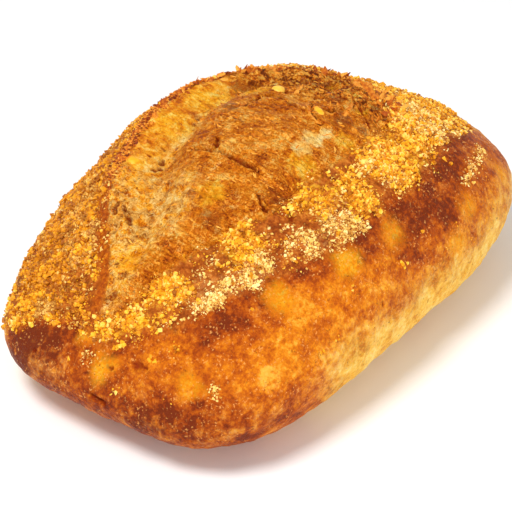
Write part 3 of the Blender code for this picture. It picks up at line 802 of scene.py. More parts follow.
def drifted(points, drifts):
    """How thick the drifts lie, from 0 up."""
    level = np.zeros(len(points))
    for middle, reach, strength in drifts:
        level += strength * bump(np.linalg.norm(points - middle, axis=1), reach)
    return level


def places(points, spots):
    """1 in the middle of each of the given places, fading over its ragged edge."""
    wander = 0.0014 * soft_noise(points / 0.0030, 86) + 0.0008 * soft_noise(points / 0.0012, 87)
    level = np.zeros(len(points))
    for middle, reach in spots:
        distance = np.linalg.norm(points[:, :2] - middle, axis=1) + wander
        level = np.maximum(level, rise_between(distance, 1.5 * reach, 0.4 * reach))
    return level


# Shares of the way along the cut between which the ear's side takes in the whole width.
HEAD_TURN = (0.86, 0.94)


def ear_side_at(share, across, reach, turn):
    """1 on the ear's side of the cut and round its head, and 0 on the flat side."""
    return np.maximum(rise_between(across, 0.0, reach), rise_between(share, *turn))


for zone_name, values in body_zone.items():
    paint(body_mesh, zone_name, values)
paint(body_mesh, "edge_mm", body_edge * 1000)
paint(body_mesh, "baked", browning(body_block))
paint(body_mesh, "golden", golden(body_block))
paint(body_mesh, "pale", paleness(body_block))
paint(body_mesh, "hollow_shade", body_hollow_shade)
paint(body_mesh, "pale_dust", np.clip(drifted(body_block, PALE_DRIFTS), 0, 1) * body_zone["coat"])
paint(body_mesh, "floury", places(body_block, FLOURY_PLACES) * body_zone["burst"])
paint(body_mesh, "yellow", places(body_block, YELLOW_PLACES) * body_zone["burst"])
paint(body_mesh, "dark", places(body_block, DARK_PLACES) * body_zone["burst"])
body_share, body_across = cut_place(body_block[:, :2])
ear_side_share = ear_side_at(body_share, body_across, 0.008, HEAD_TURN)
paint(body_mesh, "ear_side", ear_side_share)
rimmed = ear_side_share * rise_between(body_share, 0.30, 0.42)
paint(body_mesh, "rimmed", rimmed * (1 - 0.5 * rise_between(body_share, 0.74, 0.92)))
gold_dust = np.clip(drifted(body_block, GOLDEN_DRIFTS), 0, 1) * body_zone["coat"]
paint(body_mesh, "gold_dust", gold_dust * (1 - 0.6 * ear_side_share))


def cracks(tree, field, width):
    """1 along the winding lines where a noise passes its middle, and 0 away from them."""
    off_line = maths(tree, "ABSOLUTE", maths(tree, "SUBTRACT", field, 0.5), 0.0)
    return soft_step(tree, off_line, width, 0.0)


def crust_colour(tree):
    """Baked crust: mottled from reddish brown to orange, golden on blotches, pale below, with painted glints
    and the painted shade of small pits.
    """
    cloud = grain(tree, 0.0110, 6.0, 0.66, distortion=0.3)
    scaly = grain(tree, 0.0032, 5.0, 0.72, distortion=0.2)
    mottle = grain(tree, 0.0015, 3.0, 0.65)
    level = swayed(tree, painted(tree, "baked"), (cloud, 1.9), (scaly, 1.2), (mottle, 0.8))
    colour = colours(
        tree, level, (0.0, (246, 172, 54)), (0.20, (230, 134, 14)), (0.42, (208, 106, 6)),
        (0.66, (176, 76, 4)), (0.90, (140, 52, 4)), (1.0, (118, 42, 6)))
    glow_level = swayed(tree, scaly, (mottle, 1.3), (painted(tree, "golden"), 0.30))
    glow = colours(
        tree, glow_level, (0.20, (206, 100, 0)), (0.42, (234, 136, 0)), (0.62, (250, 166, 10)),
        (0.85, (255, 196, 60)))
    ragged = ((scaly, -0.7), (cloud, -0.5), (mottle, -0.6))
    colour = stained(tree, colour, glow, "golden", ragged, 0.0, 1.05, 0.86)
    streak = grain(tree, 0.0036, 5.0, 0.68, stretch=(1.0, 1.0, 0.45), distortion=0.3)
    soft_level = swayed(tree, streak, (mottle, 0.9), (cloud, -1.0))
    soft = colours(
        tree, soft_level, (0.2, (218, 138, 28)), (0.40, (244, 182, 58)), (0.58, (253, 206, 92)),
        (0.80, (255, 230, 142)))
    colour = stained(tree, colour, soft, "pale", ((cloud, -0.9), (scaly, -0.9)), 0.05, 0.95, 0.92)
    # Painted glints: small light specks, in clumpy patches, stand for tiny highlights on the crust.
    glint_patches = soft_step(tree, grain(tree, 0.0060, 2.0), 0.42, 0.58)
    painted_glint = times(tree, soft_step(tree, grain(tree, 0.0010, 2.0), 0.58, 0.67), glint_patches)
    colour = over(tree, colour, srgb(246, 170, 88), times(tree, painted_glint, 0.62))
    # Painted shade: dark spots stand for the shade in small pits of the crust.
    pit_shade = soft_step(tree, grain(tree, 0.0022, 4.0, 0.68, distortion=0.3), 0.60, 0.70)
    return over(tree, colour, srgb(116, 42, 2), times(tree, pit_shade, 0.62))


def torn_colour(tree):
    """Torn dough: brown and tan wisps drawn across the burst, with painted shade in the cracks between them
    and in the web's pores.
    """
    streak = grain(tree, 0.0018, 3.0, 0.60, stretch=(1.0, 0.36, 0.50), distortion=1.3)
    fibre = grain(tree, 0.0026, 3.0, 0.62, stretch=(1.0, 0.42, 0.5), distortion=1.4)
    wisp = grain(tree, 0.0014, 3.0, 0.62, stretch=(0.7, 1.0, 1.0), distortion=1.6)
    patch = grain(tree, 0.0090, 4.0, 0.55)
    cloud = grain(tree, 0.0034, 3.0, 0.6)
    tint = grain(tree, 0.0060, 3.0, 0.6, distortion=1.0)
    level = swayed(tree, 0.52, (streak, 1.1), (fibre, 0.8), (wisp, 1.2), (patch, 1.4))
    mound = colours(
        tree, level, (0.06, (128, 46, 0)), (0.27, (182, 84, 0)), (0.48, (216, 118, 10)),
        (0.68, (240, 148, 34)), (0.94, (254, 196, 92)))
    face_level = swayed(tree, 0.47, (patch, 1.6), (cloud, 1.2), (streak, 0.9), (wisp, 0.5))
    smooth = colours(
        tree, face_level, (0.08, (186, 88, 0)), (0.28, (222, 122, 4)), (0.48, (242, 156, 20)),
        (0.70, (252, 184, 58)), (0.95, (255, 216, 122)))
    colour = over(tree, mound, smooth, times(tree, painted(tree, "face"), 0.94))
    web_level = swayed(tree, 0.50, (patch, 1.0), (cloud, 1.6), (wisp, 1.3), (streak, 0.5))
    tan = colours(
        tree, web_level, (0.05, (118, 60, 10)), (0.24, (176, 110, 36)), (0.46, (216, 154, 66)),
        (0.66, (238, 184, 92)), (0.92, (255, 224, 148)))
    amber = colours(
        tree, web_level, (0.05, (146, 62, 0)), (0.24, (204, 108, 4)), (0.46, (240, 152, 22)),
        (0.66, (253, 182, 50)), (0.92, (255, 214, 110)))
    web = over(tree, tan, amber, soft_step(tree, tint, 0.44, 0.58))
    wall = cracks(tree, grain(tree, 0.0046, 3.0, 0.6, distortion=0.8), 0.020)
    web = over(tree, web, srgb(255, 222, 142), times(tree, wall, 0.55))
    # Painted shade: dark spots for the shaded pores of the web.
    pore_shade = soft_step(tree, grain(tree, 0.0013, 1.0), 0.67, 0.74)
    web = over(tree, web, srgb(112, 50, 12), times(tree, pore_shade, 0.8))
    colour = over(tree, colour, web, times(tree, painted(tree, "web"), 0.92))
    flake_level = swayed(tree, 0.53, (fibre, 1.8), (cloud, 2.6), (wisp, 1.7))
    flaky = colours(
        tree, flake_level, (0.08, (84, 26, 0)), (0.28, (146, 58, 0)), (0.46, (200, 98, 6)),
        (0.64, (240, 140, 26)), (0.90, (255, 184, 70)))
    colour = over(tree, colour, flaky, times(tree, painted(tree, "head"), 0.9))
    yellow = colours(tree, face_level, (0.25, (238, 146, 4)), (0.5, (255, 180, 24)), (0.8, (255, 212, 84)))
    colour = stained(tree, colour, yellow, "yellow", ((cloud, 1.4), (wisp, 0.9)), 0.15, 1.1, 0.75)
    dark_brown = srgb(140, 56, 4)
    colour = stained(tree, colour, dark_brown, "dark", ((fibre, 1.8), (cloud, 0.9)), 0.2, 1.1, 0.7)
    floury = colours(tree, face_level, (0.25, (255, 184, 78)), (0.5, (255, 204, 108)), (0.8, (255, 226, 150)))
    colour = stained(tree, colour, floury, "floury", ((cloud, 1.0), (wisp, 1.3)), 0.0, 0.9, 0.94)
    # Painted shade: dark brown lines in the cracks between the wisps, fainter on the smooth face.
    split = times(tree, cracks(tree, streak, 0.022), soft_step(tree, patch, 0.42, 0.58))
    plain = maths(tree, "SUBTRACT", 1.0, times(tree, painted(tree, "face"), 0.75))
    return over(tree, colour, srgb(128, 48, 0), times(tree, times(tree, split, plain), 0.6))


crust_finish, crust_tree, crust_surface = new_finish("baked_crust_and_torn_dough", 0.46, 0.10)
# Under the coating of grits the crust is a mottled dark brown: partly its own colour, and partly painted
# shade between and under the crumbs. Drifts of golden and pale dust tint it.
coat_ground_and_shade_level = swayed(
    crust_tree, 0.5, (grain(crust_tree, 0.0045, 3.0), 1.2), (grain(crust_tree, 0.0012, 3.0), 1.0))
coat_ground_and_shade = colours(
    crust_tree, coat_ground_and_shade_level, (0.10, (92, 34, 4)), (0.35, (142, 62, 12)), (0.60, (184, 94, 24)),
    (0.90, (226, 142, 54)))
dust_noise = grain(crust_tree, 0.0022, 4.0, 0.66, distortion=0.3)
drifting = ((dust_noise, 3.0),)
gold_ground = colours(
    crust_tree, dust_noise, (0.32, (196, 104, 0)), (0.48, (236, 156, 6)), (0.66, (255, 202, 60)))
coat_ground_and_shade = stained(crust_tree, coat_ground_and_shade, gold_ground, "gold_dust", drifting, 0.40, 1.35, 0.75)
pale_ground = srgb(220, 154, 84)
coat_ground_and_shade = stained(crust_tree, coat_ground_and_shade, pale_ground, "pale_dust", drifting, 0.55, 1.45, 0.42)
whole_colour = over(crust_tree, crust_colour(crust_tree), coat_ground_and_shade, times(
    crust_tree, painted(crust_tree, "coat"), 0.9))
whole_colour = over(crust_tree, whole_colour, torn_colour(crust_tree), painted(crust_tree, "burst"))
rim_grain = grain(crust_tree, 0.0022, 3.0)
edge_mm = swayed(crust_tree, painted(crust_tree, "edge_mm"), (rim_grain, 6.0))
lip_share = times(
    crust_tree, soft_step(crust_tree, edge_mm, -4.8, -2.6), soft_step(crust_tree, edge_mm, 0.9, -0.3))
lip_share = times(crust_tree, lip_share, painted(crust_tree, "ear_side"))
lip_colour = colours(
    crust_tree, grain(crust_tree, 0.0016, 3.0, 0.65), (0.30, (132, 48, 0)), (0.50, (182, 82, 4)),
    (0.72, (226, 128, 20)))
whole_colour = over(crust_tree, whole_colour, lip_colour, times(crust_tree, lip_share, 0.9))
rim_share = times(
    crust_tree, soft_step(crust_tree, edge_mm, -6.0, -3.0), soft_step(crust_tree, edge_mm, 3.0, 1.2))
rim_share = times(crust_tree, rim_share, painted(crust_tree, "rimmed"))
rim_colour = colours(
    crust_tree, grain(crust_tree, 0.0012, 3.0, 0.65), (0.30, (108, 36, 0)), (0.50, (160, 68, 2)),
    (0.72, (216, 120, 18)))
whole_colour = over(crust_tree, whole_colour, rim_colour, times(crust_tree, rim_share, 0.92))
# Painted shade: dark reddish brown in the creases, pits, slits, the blister's dip and under each torn layer
# of the head.
whole_colour = over(
    crust_tree, whole_colour, srgb(132, 36, 0), times(crust_tree, painted(crust_tree, "hollow_shade"), 0.86))
crust_tree.links.new(whole_colour, crust_surface.inputs["Base Color"])
pebbles = bumped(crust_tree, grain(crust_tree, 0.0017, 4.0, 0.64), 0.0015)
fibres = grain(crust_tree, 0.0018, 4.0, 0.66, stretch=(1.0, 0.40, 0.5), distortion=1.4)
smooth_places = maths(crust_tree, "MAXIMUM", painted(crust_tree, "web"), painted(crust_tree, "face"))
fibrous = maths(crust_tree, "SUBTRACT", painted(crust_tree, "burst"), times(crust_tree, smooth_places, 0.55))
fibre_height = times(crust_tree, fibres, fibrous)
crust_tree.links.new(bumped(crust_tree, fibre_height, 0.0017, pebbles), crust_surface.inputs["Normal"])
body_mesh.materials.append(crust_finish)

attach(loaf_crust, "root")
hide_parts("loaf")

# ==== Torn strands and flakes ==============================================================
# Where the dough tore it left thin curled strands that lie across the burst, a crumbly rim of
# dark scraps along the ear, and larger leaves at the head of the cut. All are the same baked
# dough as the loaf, and hang on by their roots.
STRAND_COUNT = 1100
STRAND_LENGTHS = (0.0010, 0.0028)
STRAND_WIDTHS = (0.00018, 0.00050)
STRAND_LIFT = 0.0003
STRAND_ROOT_SINK = 0.0001
STRAND_SEED = 11
RIM_FLAKE_COUNT = 800
RIM_FLAKE_LENGTHS = (0.0010, 0.0026)
RIM_FLAKE_WIDTHS = (0.0005, 0.0012)
RIM_FLAKE_LIFT = 0.0010
RIM_FLAKE_ROOT_SINK = 0.0002
# Leaves of torn crust: points in plan from root to tip, half-width, and the tip's rise.
LEAVES = (
    (((0.0480, -0.0240), (0.0500, -0.0215), (0.0535, -0.0180), (0.0560, -0.0145), (0.0572, -0.0110),
      (0.0580, -0.0075)), 0.0017, 0.0062),
    (((0.0360, -0.0290), (0.0450, -0.0262), (0.0540, -0.0215), (0.0600, -0.0150)), 0.0013, 0.0030),
    (((0.0240, -0.0200), (0.0320, -0.0190), (0.0400, -0.0160)), 0.0013, 0.0018),
    (((0.0275, -0.0040), (0.0205, -0.0066), (0.0155, -0.0108), (0.0132, -0.0150), (0.0128, -0.0180)),
     0.0009, 0.0016),
    (((0.0600, -0.0110), (0.0645, -0.0050), (0.0680, 0.0010)), 0.0022, 0.0026),
    (((0.0660, 0.0150), (0.0702, 0.0192), (0.0740, 0.0240)), 0.0022, 0.0026),
    (((0.0560, 0.0330), (0.0602, 0.0364), (0.0640, 0.0400)), 0.0022, 0.0022),
    (((0.0300, 0.0470), (0.0337, 0.0503), (0.0370, 0.0540)), 0.0022, 0.0022),
    (((0.0000, 0.0480), (0.0032, 0.0513), (0.0060, 0.0550)), 0.0020, 0.0022),
    (((-0.0380, 0.0395), (-0.0366, 0.0431), (-0.0350, 0.0470)), 0.0018, 0.0024),
    (((0.0380, -0.0060), (0.0460, -0.0040), (0.0520, 0.0000)), 0.0016, 0.0018),
    (((0.0280, 0.0050), (0.0340, 0.0080), (0.0420, 0.0090)), 0.0016, 0.0014),
    (((0.0440, -0.0200), (0.0500, -0.0160), (0.0540, -0.0100)), 0.0012, 0.0020),
    (((0.0410, -0.0140), (0.0380, -0.0205), (0.0328, -0.0265), (0.0286, -0.0310)), 0.0007, 0.0006),
)
LEAF_THICKNESS = 0.0007
LEAF_ROOT_SINK = 0.0008
SHARD_TONE = 0.50           # the first leaf is the large shard at the head
LEAF_STEPS = 12
ABOVE_LOAF = 0.2            # height from which a ray straight down meets the loaf's top

body_tree = BVHTree.FromPolygons(
    [Vector(point) for point in body_points], [tuple(face.vertices) for face in body_mesh.polygons])


def crust_triangles(piece):
    """Corners, middles, normals and areas of a piece's triangles."""
    mesh = piece.data
    mesh.calc_loop_triangles()
    indices = np.zeros(len(mesh.loop_triangles) * 3, dtype=np.int64)
    mesh.loop_triangles.foreach_get("vertices", indices)
    corners = body_points[indices.reshape(-1, 3)]
    spread = np.cross(corners[:, 1] - corners[:, 0], corners[:, 2] - corners[:, 0])
    doubled = np.linalg.norm(spread, axis=1)
    return corners, corners.mean(axis=1), spread / np.maximum(doubled, 1e-12)[:, None], doubled / 2


def scatter(weights, count, draw):
    """Random places on the crust's triangles, more of them where the weight is higher."""
    chance = weights * body_areas
    chosen = draw.choice(len(body_areas), size=count, p=chance / chance.sum())
    split = np.sort(draw.uniform(size=(count, 2)), axis=1)
    shares = np.stack([split[:, 0], split[:, 1] - split[:, 0], 1 - split[:, 1]], axis=1)
    return (body_corners[chosen] * shares[:, :, None]).sum(axis=1), chosen


def strips(name, paths, upward, widths, thickness):
    """One mesh of many tapering strips; each has its path, its upward side and half-widths."""
    count, steps, _ = paths.shape
    ahead = np.gradient(paths, axis=1)
    sideways = np.cross(upward, ahead)
    sideways /= np.maximum(np.linalg.norm(sideways, axis=2, keepdims=True), 1e-12)
    half = sideways * widths[:, :, None]
    ridge = upward * thickness[:, :, None]
    rings = np.stack([paths - half, paths + ridge, paths + half, paths - ridge * 0.4], axis=2)
    around = 4
    ring, corner = np.meshgrid(np.arange(steps - 1), np.arange(around), indexing="ij")
    here = ring * around + corner
    beside = ring * around + (corner + 1) % around
    quads = np.stack([here, beside, beside + around, here + around], axis=-1).reshape(-1, 4)
    caps = np.array([(3, 2, 1, 0), tuple((steps - 1) * around + i for i in range(around))])
    faces = np.concatenate([quads, caps])
    faces = faces[None] + (np.arange(count) * steps * around)[:, None, None]
    mesh = bpy.data.meshes.new(name)
    mesh.from_pydata(rings.reshape(-1, 3), [], faces.reshape(-1, 4))
    mesh.update()
    return mesh, steps * around


def unit(vectors):
    return vectors / np.maximum(np.linalg.norm(vectors, axis=-1, keepdims=True), 1e-12)


def small_strips(name, starts, upward, ahead, lengths, widths, lift, curl, draw):
    """Strips that leave the crust at one end: their tips rise, and they curl sideways."""
    steps = 4
    share = np.linspace(0, 1, steps)[None, :, None]
    sideways = np.cross(upward, ahead)
    length = lengths[:, None, None]
    paths = starts[:, None] + ahead[:, None] * share * length
    paths = paths + sideways[:, None] * curl[:, None, None] * length * share**2
    paths = paths + upward[:, None] * lift[:, None, None] * share**1.5
    taper = np.array((0.75, 1.0, 0.8, 0.15))[None] * draw.uniform(0.75, 1.2, (len(starts), steps))
    half = widths[:, None] * taper
    return strips(name, paths, upward[:, None] + np.zeros((1, steps, 1)), half, half * 0.55)


def dress(name, mesh, finish, tones, corners_each):
    """Turns a mesh of many small parts into a piece of the loaf, with a tone for each part."""
    paint(mesh, "tone", np.repeat(tones, corners_each))
    mesh.materials.append(finish)
    piece = into_scene(bpy.data.objects.new(name, mesh))
    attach(piece, "root")
    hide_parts("loaf")


def along_crust(turn, facings):
    """Directions at the given angles in plan, laid flat against the crust."""
    ahead = np.stack([np.cos(turn), np.sin(turn), np.zeros(len(turn))], axis=1)
    return unit(ahead - facings * (ahead * facings).sum(axis=1)[:, None])


def crust_under(x, y):
    """The point of the crust straight below a place in plan, and its normal there."""
    return body_tree.ray_cast(Vector((x, y, ABOVE_LOAF)), Vector((0, 0, -1)))[:2]


body_corners, body_middles, body_facings, body_areas = crust_triangles(loaf_crust)
middle_edge = burst_distance(body_middles[:, :2])
middle_share, middle_across = cut_place(body_middles[:, :2])
middle_zone = zones(body_middles, middle_edge)
middle_top = rise_between(body_middles[:, 2], UPPER_HALF, UPPER_HALF + 0.010)

strand_finish, strand_tree, strand_surface = new_finish("torn_strands", 0.6, 0.2)
strand_level = swayed(
    strand_tree, painted(strand_tree, "tone"), (grain(strand_tree, 0.0090, 4.0), 1.2),
    (grain(strand_tree, 0.0012, 2.0), 0.6))
strand_tree.links.new(colours(
    strand_tree, strand_level, (0.05, (152, 66, 0)), (0.35, (206, 110, 8)), (0.60, (236, 146, 30)),
    (0.90, (252, 182, 76))), strand_surface.inputs["Base Color"])

draw = np.random.default_rng(STRAND_SEED)
strand_weights = middle_zone["burst"] * (1 - 0.85 * middle_zone["face"]) * (1 - 0.85 * middle_zone["web"])
strand_weights *= 0.35 + rise_between(soft_noise(body_middles / 0.006, 101), -0.3, 0.4)
starts, chosen = scatter(strand_weights, STRAND_COUNT, draw)
facings = unit(body_facings[chosen] + (0, 0, 0.3))
turn = math.pi / 2 + 0.7 * soft_noise(starts / 0.020, 102) + draw.normal(0, 0.45, STRAND_COUNT)
turn += math.pi * draw.integers(0, 2, STRAND_COUNT)
mesh, corners_each = small_strips(
    "torn_strands", starts - facings * STRAND_ROOT_SINK, facings, along_crust(turn, facings),
    draw.uniform(*STRAND_LENGTHS, STRAND_COUNT), draw.uniform(*STRAND_WIDTHS, STRAND_COUNT),
    STRAND_LIFT * draw.uniform(0.1, 1.2, STRAND_COUNT), draw.normal(0, 0.35, STRAND_COUNT), draw)
dress("torn_strands", mesh, strand_finish, draw.uniform(0.15, 0.85, STRAND_COUNT), corners_each)

rim_finish, rim_tree, rim_surface = new_finish("dark_torn_rim", 0.6, 0.2)
rim_level = swayed(rim_tree, painted(rim_tree, "tone"), (grain(rim_tree, 0.0012, 3.0), 1.0))
rim_tree.links.new(colours(
    rim_tree, rim_level, (0.05, (112, 36, 0)), (0.30, (172, 76, 4)), (0.58, (216, 122, 22)),
    (0.92, (244, 168, 62))), rim_surface.inputs["Base Color"])

ear_line = ear_side_at(middle_share, middle_across, 0.010, HEAD_TURN) * middle_top
rim_weights = bump(middle_edge + 0.0010, 0.0026) * ear_line * rise_between(middle_share, 0.22, 0.42)
starts, chosen = scatter(rim_weights, RIM_FLAKE_COUNT, draw)
facings = unit(body_facings[chosen] + (0, 0, 0.3))
share = cut_place(starts[:, :2])[0]
sheet = rise_between(share, 0.62, 0.86)
outward = math.pi / 2 - 1.4 * rise_between(share, 0.60, 1.05)
turn = outward + draw.normal(0, 0.8, RIM_FLAKE_COUNT)
mesh, corners_each = small_strips(
    "rim_flakes", starts - facings * RIM_FLAKE_ROOT_SINK, facings, along_crust(turn, facings),
    draw.uniform(*RIM_FLAKE_LENGTHS, RIM_FLAKE_COUNT) * (1 + 0.7 * sheet),
    draw.uniform(*RIM_FLAKE_WIDTHS, RIM_FLAKE_COUNT) * (1 + 0.5 * sheet),
    RIM_FLAKE_LIFT * draw.uniform(0.1, 1.2, RIM_FLAKE_COUNT), draw.normal(0, 0.35, RIM_FLAKE_COUNT), draw)
rim_tones = draw.uniform(0.0, 0.9, RIM_FLAKE_COUNT) + 0.18 * sheet
dress("rim_flakes", mesh, rim_finish, rim_tones, corners_each)

leaf_paths, leaf_sides, leaf_widths = [], [], []
for line, half_width, rise in LEAVES:
    line = np.array(line)
    reached = np.linspace(0, 1, len(line))
    steps = np.linspace(0, 1, LEAF_STEPS)
    plan = np.stack([np.interp(steps, reached, line[:, axis]) for axis in (0, 1)], axis=1)
    path, sides = [], []
    for (x, y), step in zip(plan, steps):
        place, facing = crust_under(x, y)
        path.append(np.array(place) + np.array((0, 0, rise * step**1.4 - LEAF_ROOT_SINK)))
        sides.append(np.array(facing))
    path = np.array(path)
    for _ in range(2):
        path[1:-1] = (path[:-2] + path[1:-1] * 2 + path[2:]) / 4
    facing = unit(np.mean(sides, axis=0) + np.array((0, 0, 1.0)))
    tilt = unit(np.cross(np.gradient(path, axis=0), facing))
    ragged = draw.uniform(0.75, 1.15, LEAF_STEPS)
    ragged *= np.interp(steps, (0, 0.35, 0.8, 1.0), (0.9, 1.0, 0.6, 0.06))
    leaf_paths.append(path)
    leaf_sides.append(unit(facing + 0.5 * tilt * draw.uniform(-1, 1)))
    leaf_widths.append(half_width * ragged)
mesh, corners_each = strips(
    "torn_leaves", np.array(leaf_paths), np.array(leaf_sides), np.array(leaf_widths),
    np.full((len(LEAVES), LEAF_STEPS), LEAF_THICKNESS))
leaf_tones = draw.uniform(0.35, 0.80, len(LEAVES))
leaf_tones[0] = SHARD_TONE
dress("torn_leaves", mesh, rim_finish, leaf_tones, corners_each)

# ==== Corn kernels =========================================================================
# A few whole corn kernels were kneaded into the dough and show where it tore open. Each is
# plump at one end and narrow at the other, and mostly sunk, so that little more than its top shows.
# Each kernel: place in plan, heading in degrees, length, width and tone.
KERNELS = (
    ((0.0208, -0.0118), 62, 0.0064, 0.0036, 0.50),
    ((0.0318, 0.0140), 110, 0.0060, 0.0056, 0.60),
    ((-0.0350, 0.0389), 70, 0.0064, 0.0056, 0.42),
    ((0.0500, -0.0122), 75, 0.0062, 0.0032, 0.20),
)
KERNEL_THICKNESS = 0.0036
KERNEL_SINK = 0.30          # share of its thickness by which a kernel's middle lies under the crust
KERNEL_TAPER = 0.35
KERNEL_DENT = 0.12

kernel_finish, kernel_tree, kernel_surface = new_finish("steamed_corn_kernels", 0.38, 0.3)
kernel_level = swayed(
    kernel_tree, painted(kernel_tree, "tone"), (grain(kernel_tree, 0.0030, 3.0, distortion=0.6), 0.7))
kernel_tree.links.new(colours(
    kernel_tree, kernel_level, (0.10, (222, 116, 4)), (0.45, (250, 174, 20)), (0.75, (254, 206, 84)),
    (1.0, (255, 222, 136))), kernel_surface.inputs["Base Color"])

kernel_shape = bmesh.new()
bmesh.ops.create_icosphere(kernel_shape, subdivisions=4, radius=1.0)
kernel_form = corners_of(kernel_shape)
kernel_faces = np.array([[corner.index for corner in face.verts] for face in kernel_shape.faces])
kernel_shape.free()
kernel_corners, all_kernel_faces = [], []
for number, (place, heading, length, width, _) in enumerate(KERNELS):
    spot, facing = crust_under(*place)
    dented = kernel_form * (1 + KERNEL_DENT * soft_noise(kernel_form * 1.6 + 7.0 * number, 111))[:, None]
    dented[:, 1] *= 1 - KERNEL_TAPER * dented[:, 0]
    dented *= (length / 2, width / 2, KERNEL_THICKNESS / 2)
    ahead = Vector((math.cos(math.radians(heading)), math.sin(math.radians(heading)), 0))
    ahead = (ahead - facing * ahead.dot(facing)).normalized()
    axes = np.array((ahead, facing.cross(ahead), facing))
    kernel_corners.append(dented @ axes + np.array(spot) - np.array(facing) * KERNEL_THICKNESS * KERNEL_SINK)
    all_kernel_faces.append(kernel_faces + number * len(kernel_form))
kernel_mesh = bpy.data.meshes.new("corn_kernels")
kernel_mesh.from_pydata(np.concatenate(kernel_corners), [], np.concatenate(all_kernel_faces))
kernel_mesh.shade_smooth()
kernel_tones = [kernel[-1] for kernel in KERNELS]
dress("corn_kernels", kernel_mesh, kernel_finish, kernel_tones, len(kernel_form))

# ==== Corn grits ===========================================================================
# The shaped loaf was rolled in coarse corn grits before it was baked, so toasted golden
# crumbs stick to its top all round the burst: thick on the ear's side, in drifts on the other.
GRITS = {
    # name: (count, smallest and largest radius, kind, crumbs in a clump, seed)
    "golden_grits": (9900, 0.00042, 0.00122, "coarse", 3.5, 1),
    "golden_meal": (20000, 0.00020, 0.00048, "fine", 5.0, 2),
    "floured_grits": (6600, 0.00034, 0.00084, "coarse", 4.5, 3),
    "flour_crumbs": (15500, 0.00018, 0.00040, "fine", 7.0, 4),
}
CLUMP_REACH = 0.0009
COAT_HEAD_TURN = (0.98, 1.08)   # as HEAD_TURN, but for the coating of grits
# Short trails of pale crumbs below the coating, on bare crust.
PALE_TRAILS = (
    ((0.044, -0.066, 0.057), 0.0013, 0.5),
    ((0.049, -0.065, 0.057), 0.0014, 0.6),
    ((0.055, -0.064, 0.057), 0.0018, 0.8),
    ((0.061, -0.062, 0.056), 0.0015, 0.6),
    ((0.067, -0.060, 0.055), 0.0016, 0.8),
    ((0.072, -0.058, 0.054), 0.0018, 0.8),
    ((-0.099, -0.044, 0.038), 0.0016, 0.4),
    ((-0.1072, 0.0072, 0.0358), 0.0016, 0.5),
)
# Where the coating is dull and olive rather than golden, partly its own colour and partly painted shade on
# the flank beyond the cut: middle and reach.
DULL_AND_SHADED_PLACES = (
    ((-0.050, 0.055, 0.058), 0.030),
    ((-0.072, 0.052, 0.050), 0.018),
    ((-0.092, 0.034, 0.045), 0.016),
    ((-0.020, 0.064, 0.052), 0.030),
)
GRIT_SINK = 0.25            # share of its radius by which a grit's middle lies under the crust
# Dark scraps of torn crust along the rim.
RIM_SCRAP_COUNT = 2000
RIM_SCRAP_RADII = (0.00030, 0.00080)
RIM_SCRAP_CLUMP = 3.0
RIM_SCRAP_SEED = 21


def crumb_form(kind):
    """Corners and faces of a crumb: an icosphere for a coarse one, an octahedron for a fine one."""
    if kind == "coarse":
        shape = bmesh.new()
        bmesh.ops.create_icosphere(shape, subdivisions=1, radius=1.0)
        corners = corners_of(shape)
        faces = np.array([[corner.index for corner in face.verts] for face in shape.faces])
        shape.free()
        return corners, faces
    corners = np.concatenate([np.eye(3), -np.eye(3)])
    faces = []
    for i, j, k in itertools.product((0, 3), (1, 4), (2, 5)):
        outward = (i // 3 + j // 3 + k // 3) % 2
        faces.append((i, k, j) if outward else (i, j, k))
    return corners, np.array(faces)


def crumb_mesh(name, places, upward, radii, kind, draw):
    """One mesh of many crumbs, each with uneven corners, turned and squashed at random."""
    corners, faces = crumb_form(kind)
    count = len(places)
    uneven = draw.uniform(0.48, 1.30, (count, len(corners), 1))
    squash = draw.uniform(0.55, 1.35, (count, 1, 3))
    turns, _ = np.linalg.qr(draw.normal(size=(count, 3, 3)))
    turns[np.linalg.det(turns) < 0] *= -1
    crumbs = np.einsum("nij,nkj->nki", turns, corners[None] * uneven * squash)
    crumbs = crumbs * radii[:, None, None] + (places - upward * (radii * GRIT_SINK)[:, None])[:, None]
    all_faces = faces[None] + (np.arange(count) * len(corners))[:, None, None]
    mesh = bpy.data.meshes.new(name)
    mesh.from_pydata(crumbs.reshape(-1, 3), [], all_faces.reshape(-1, 3))
    mesh.update()
    return mesh, len(corners)


def clumped(weights, count, clump, draw):
    """Places in clumps, each place brought back to the crust, with the crust's normal there."""
    centres, _ = scatter(weights, max(int(count / clump), 1), draw)
    centres = centres[draw.integers(0, len(centres), count)]
    wanted = centres + draw.normal(0, CLUMP_REACH * math.sqrt(clump / 3), (count, 3))
    found = [body_tree.find_nearest(Vector(point)) for point in wanted]
    return np.array([hit[0] for hit in found]), np.array([hit[1] for hit in found])


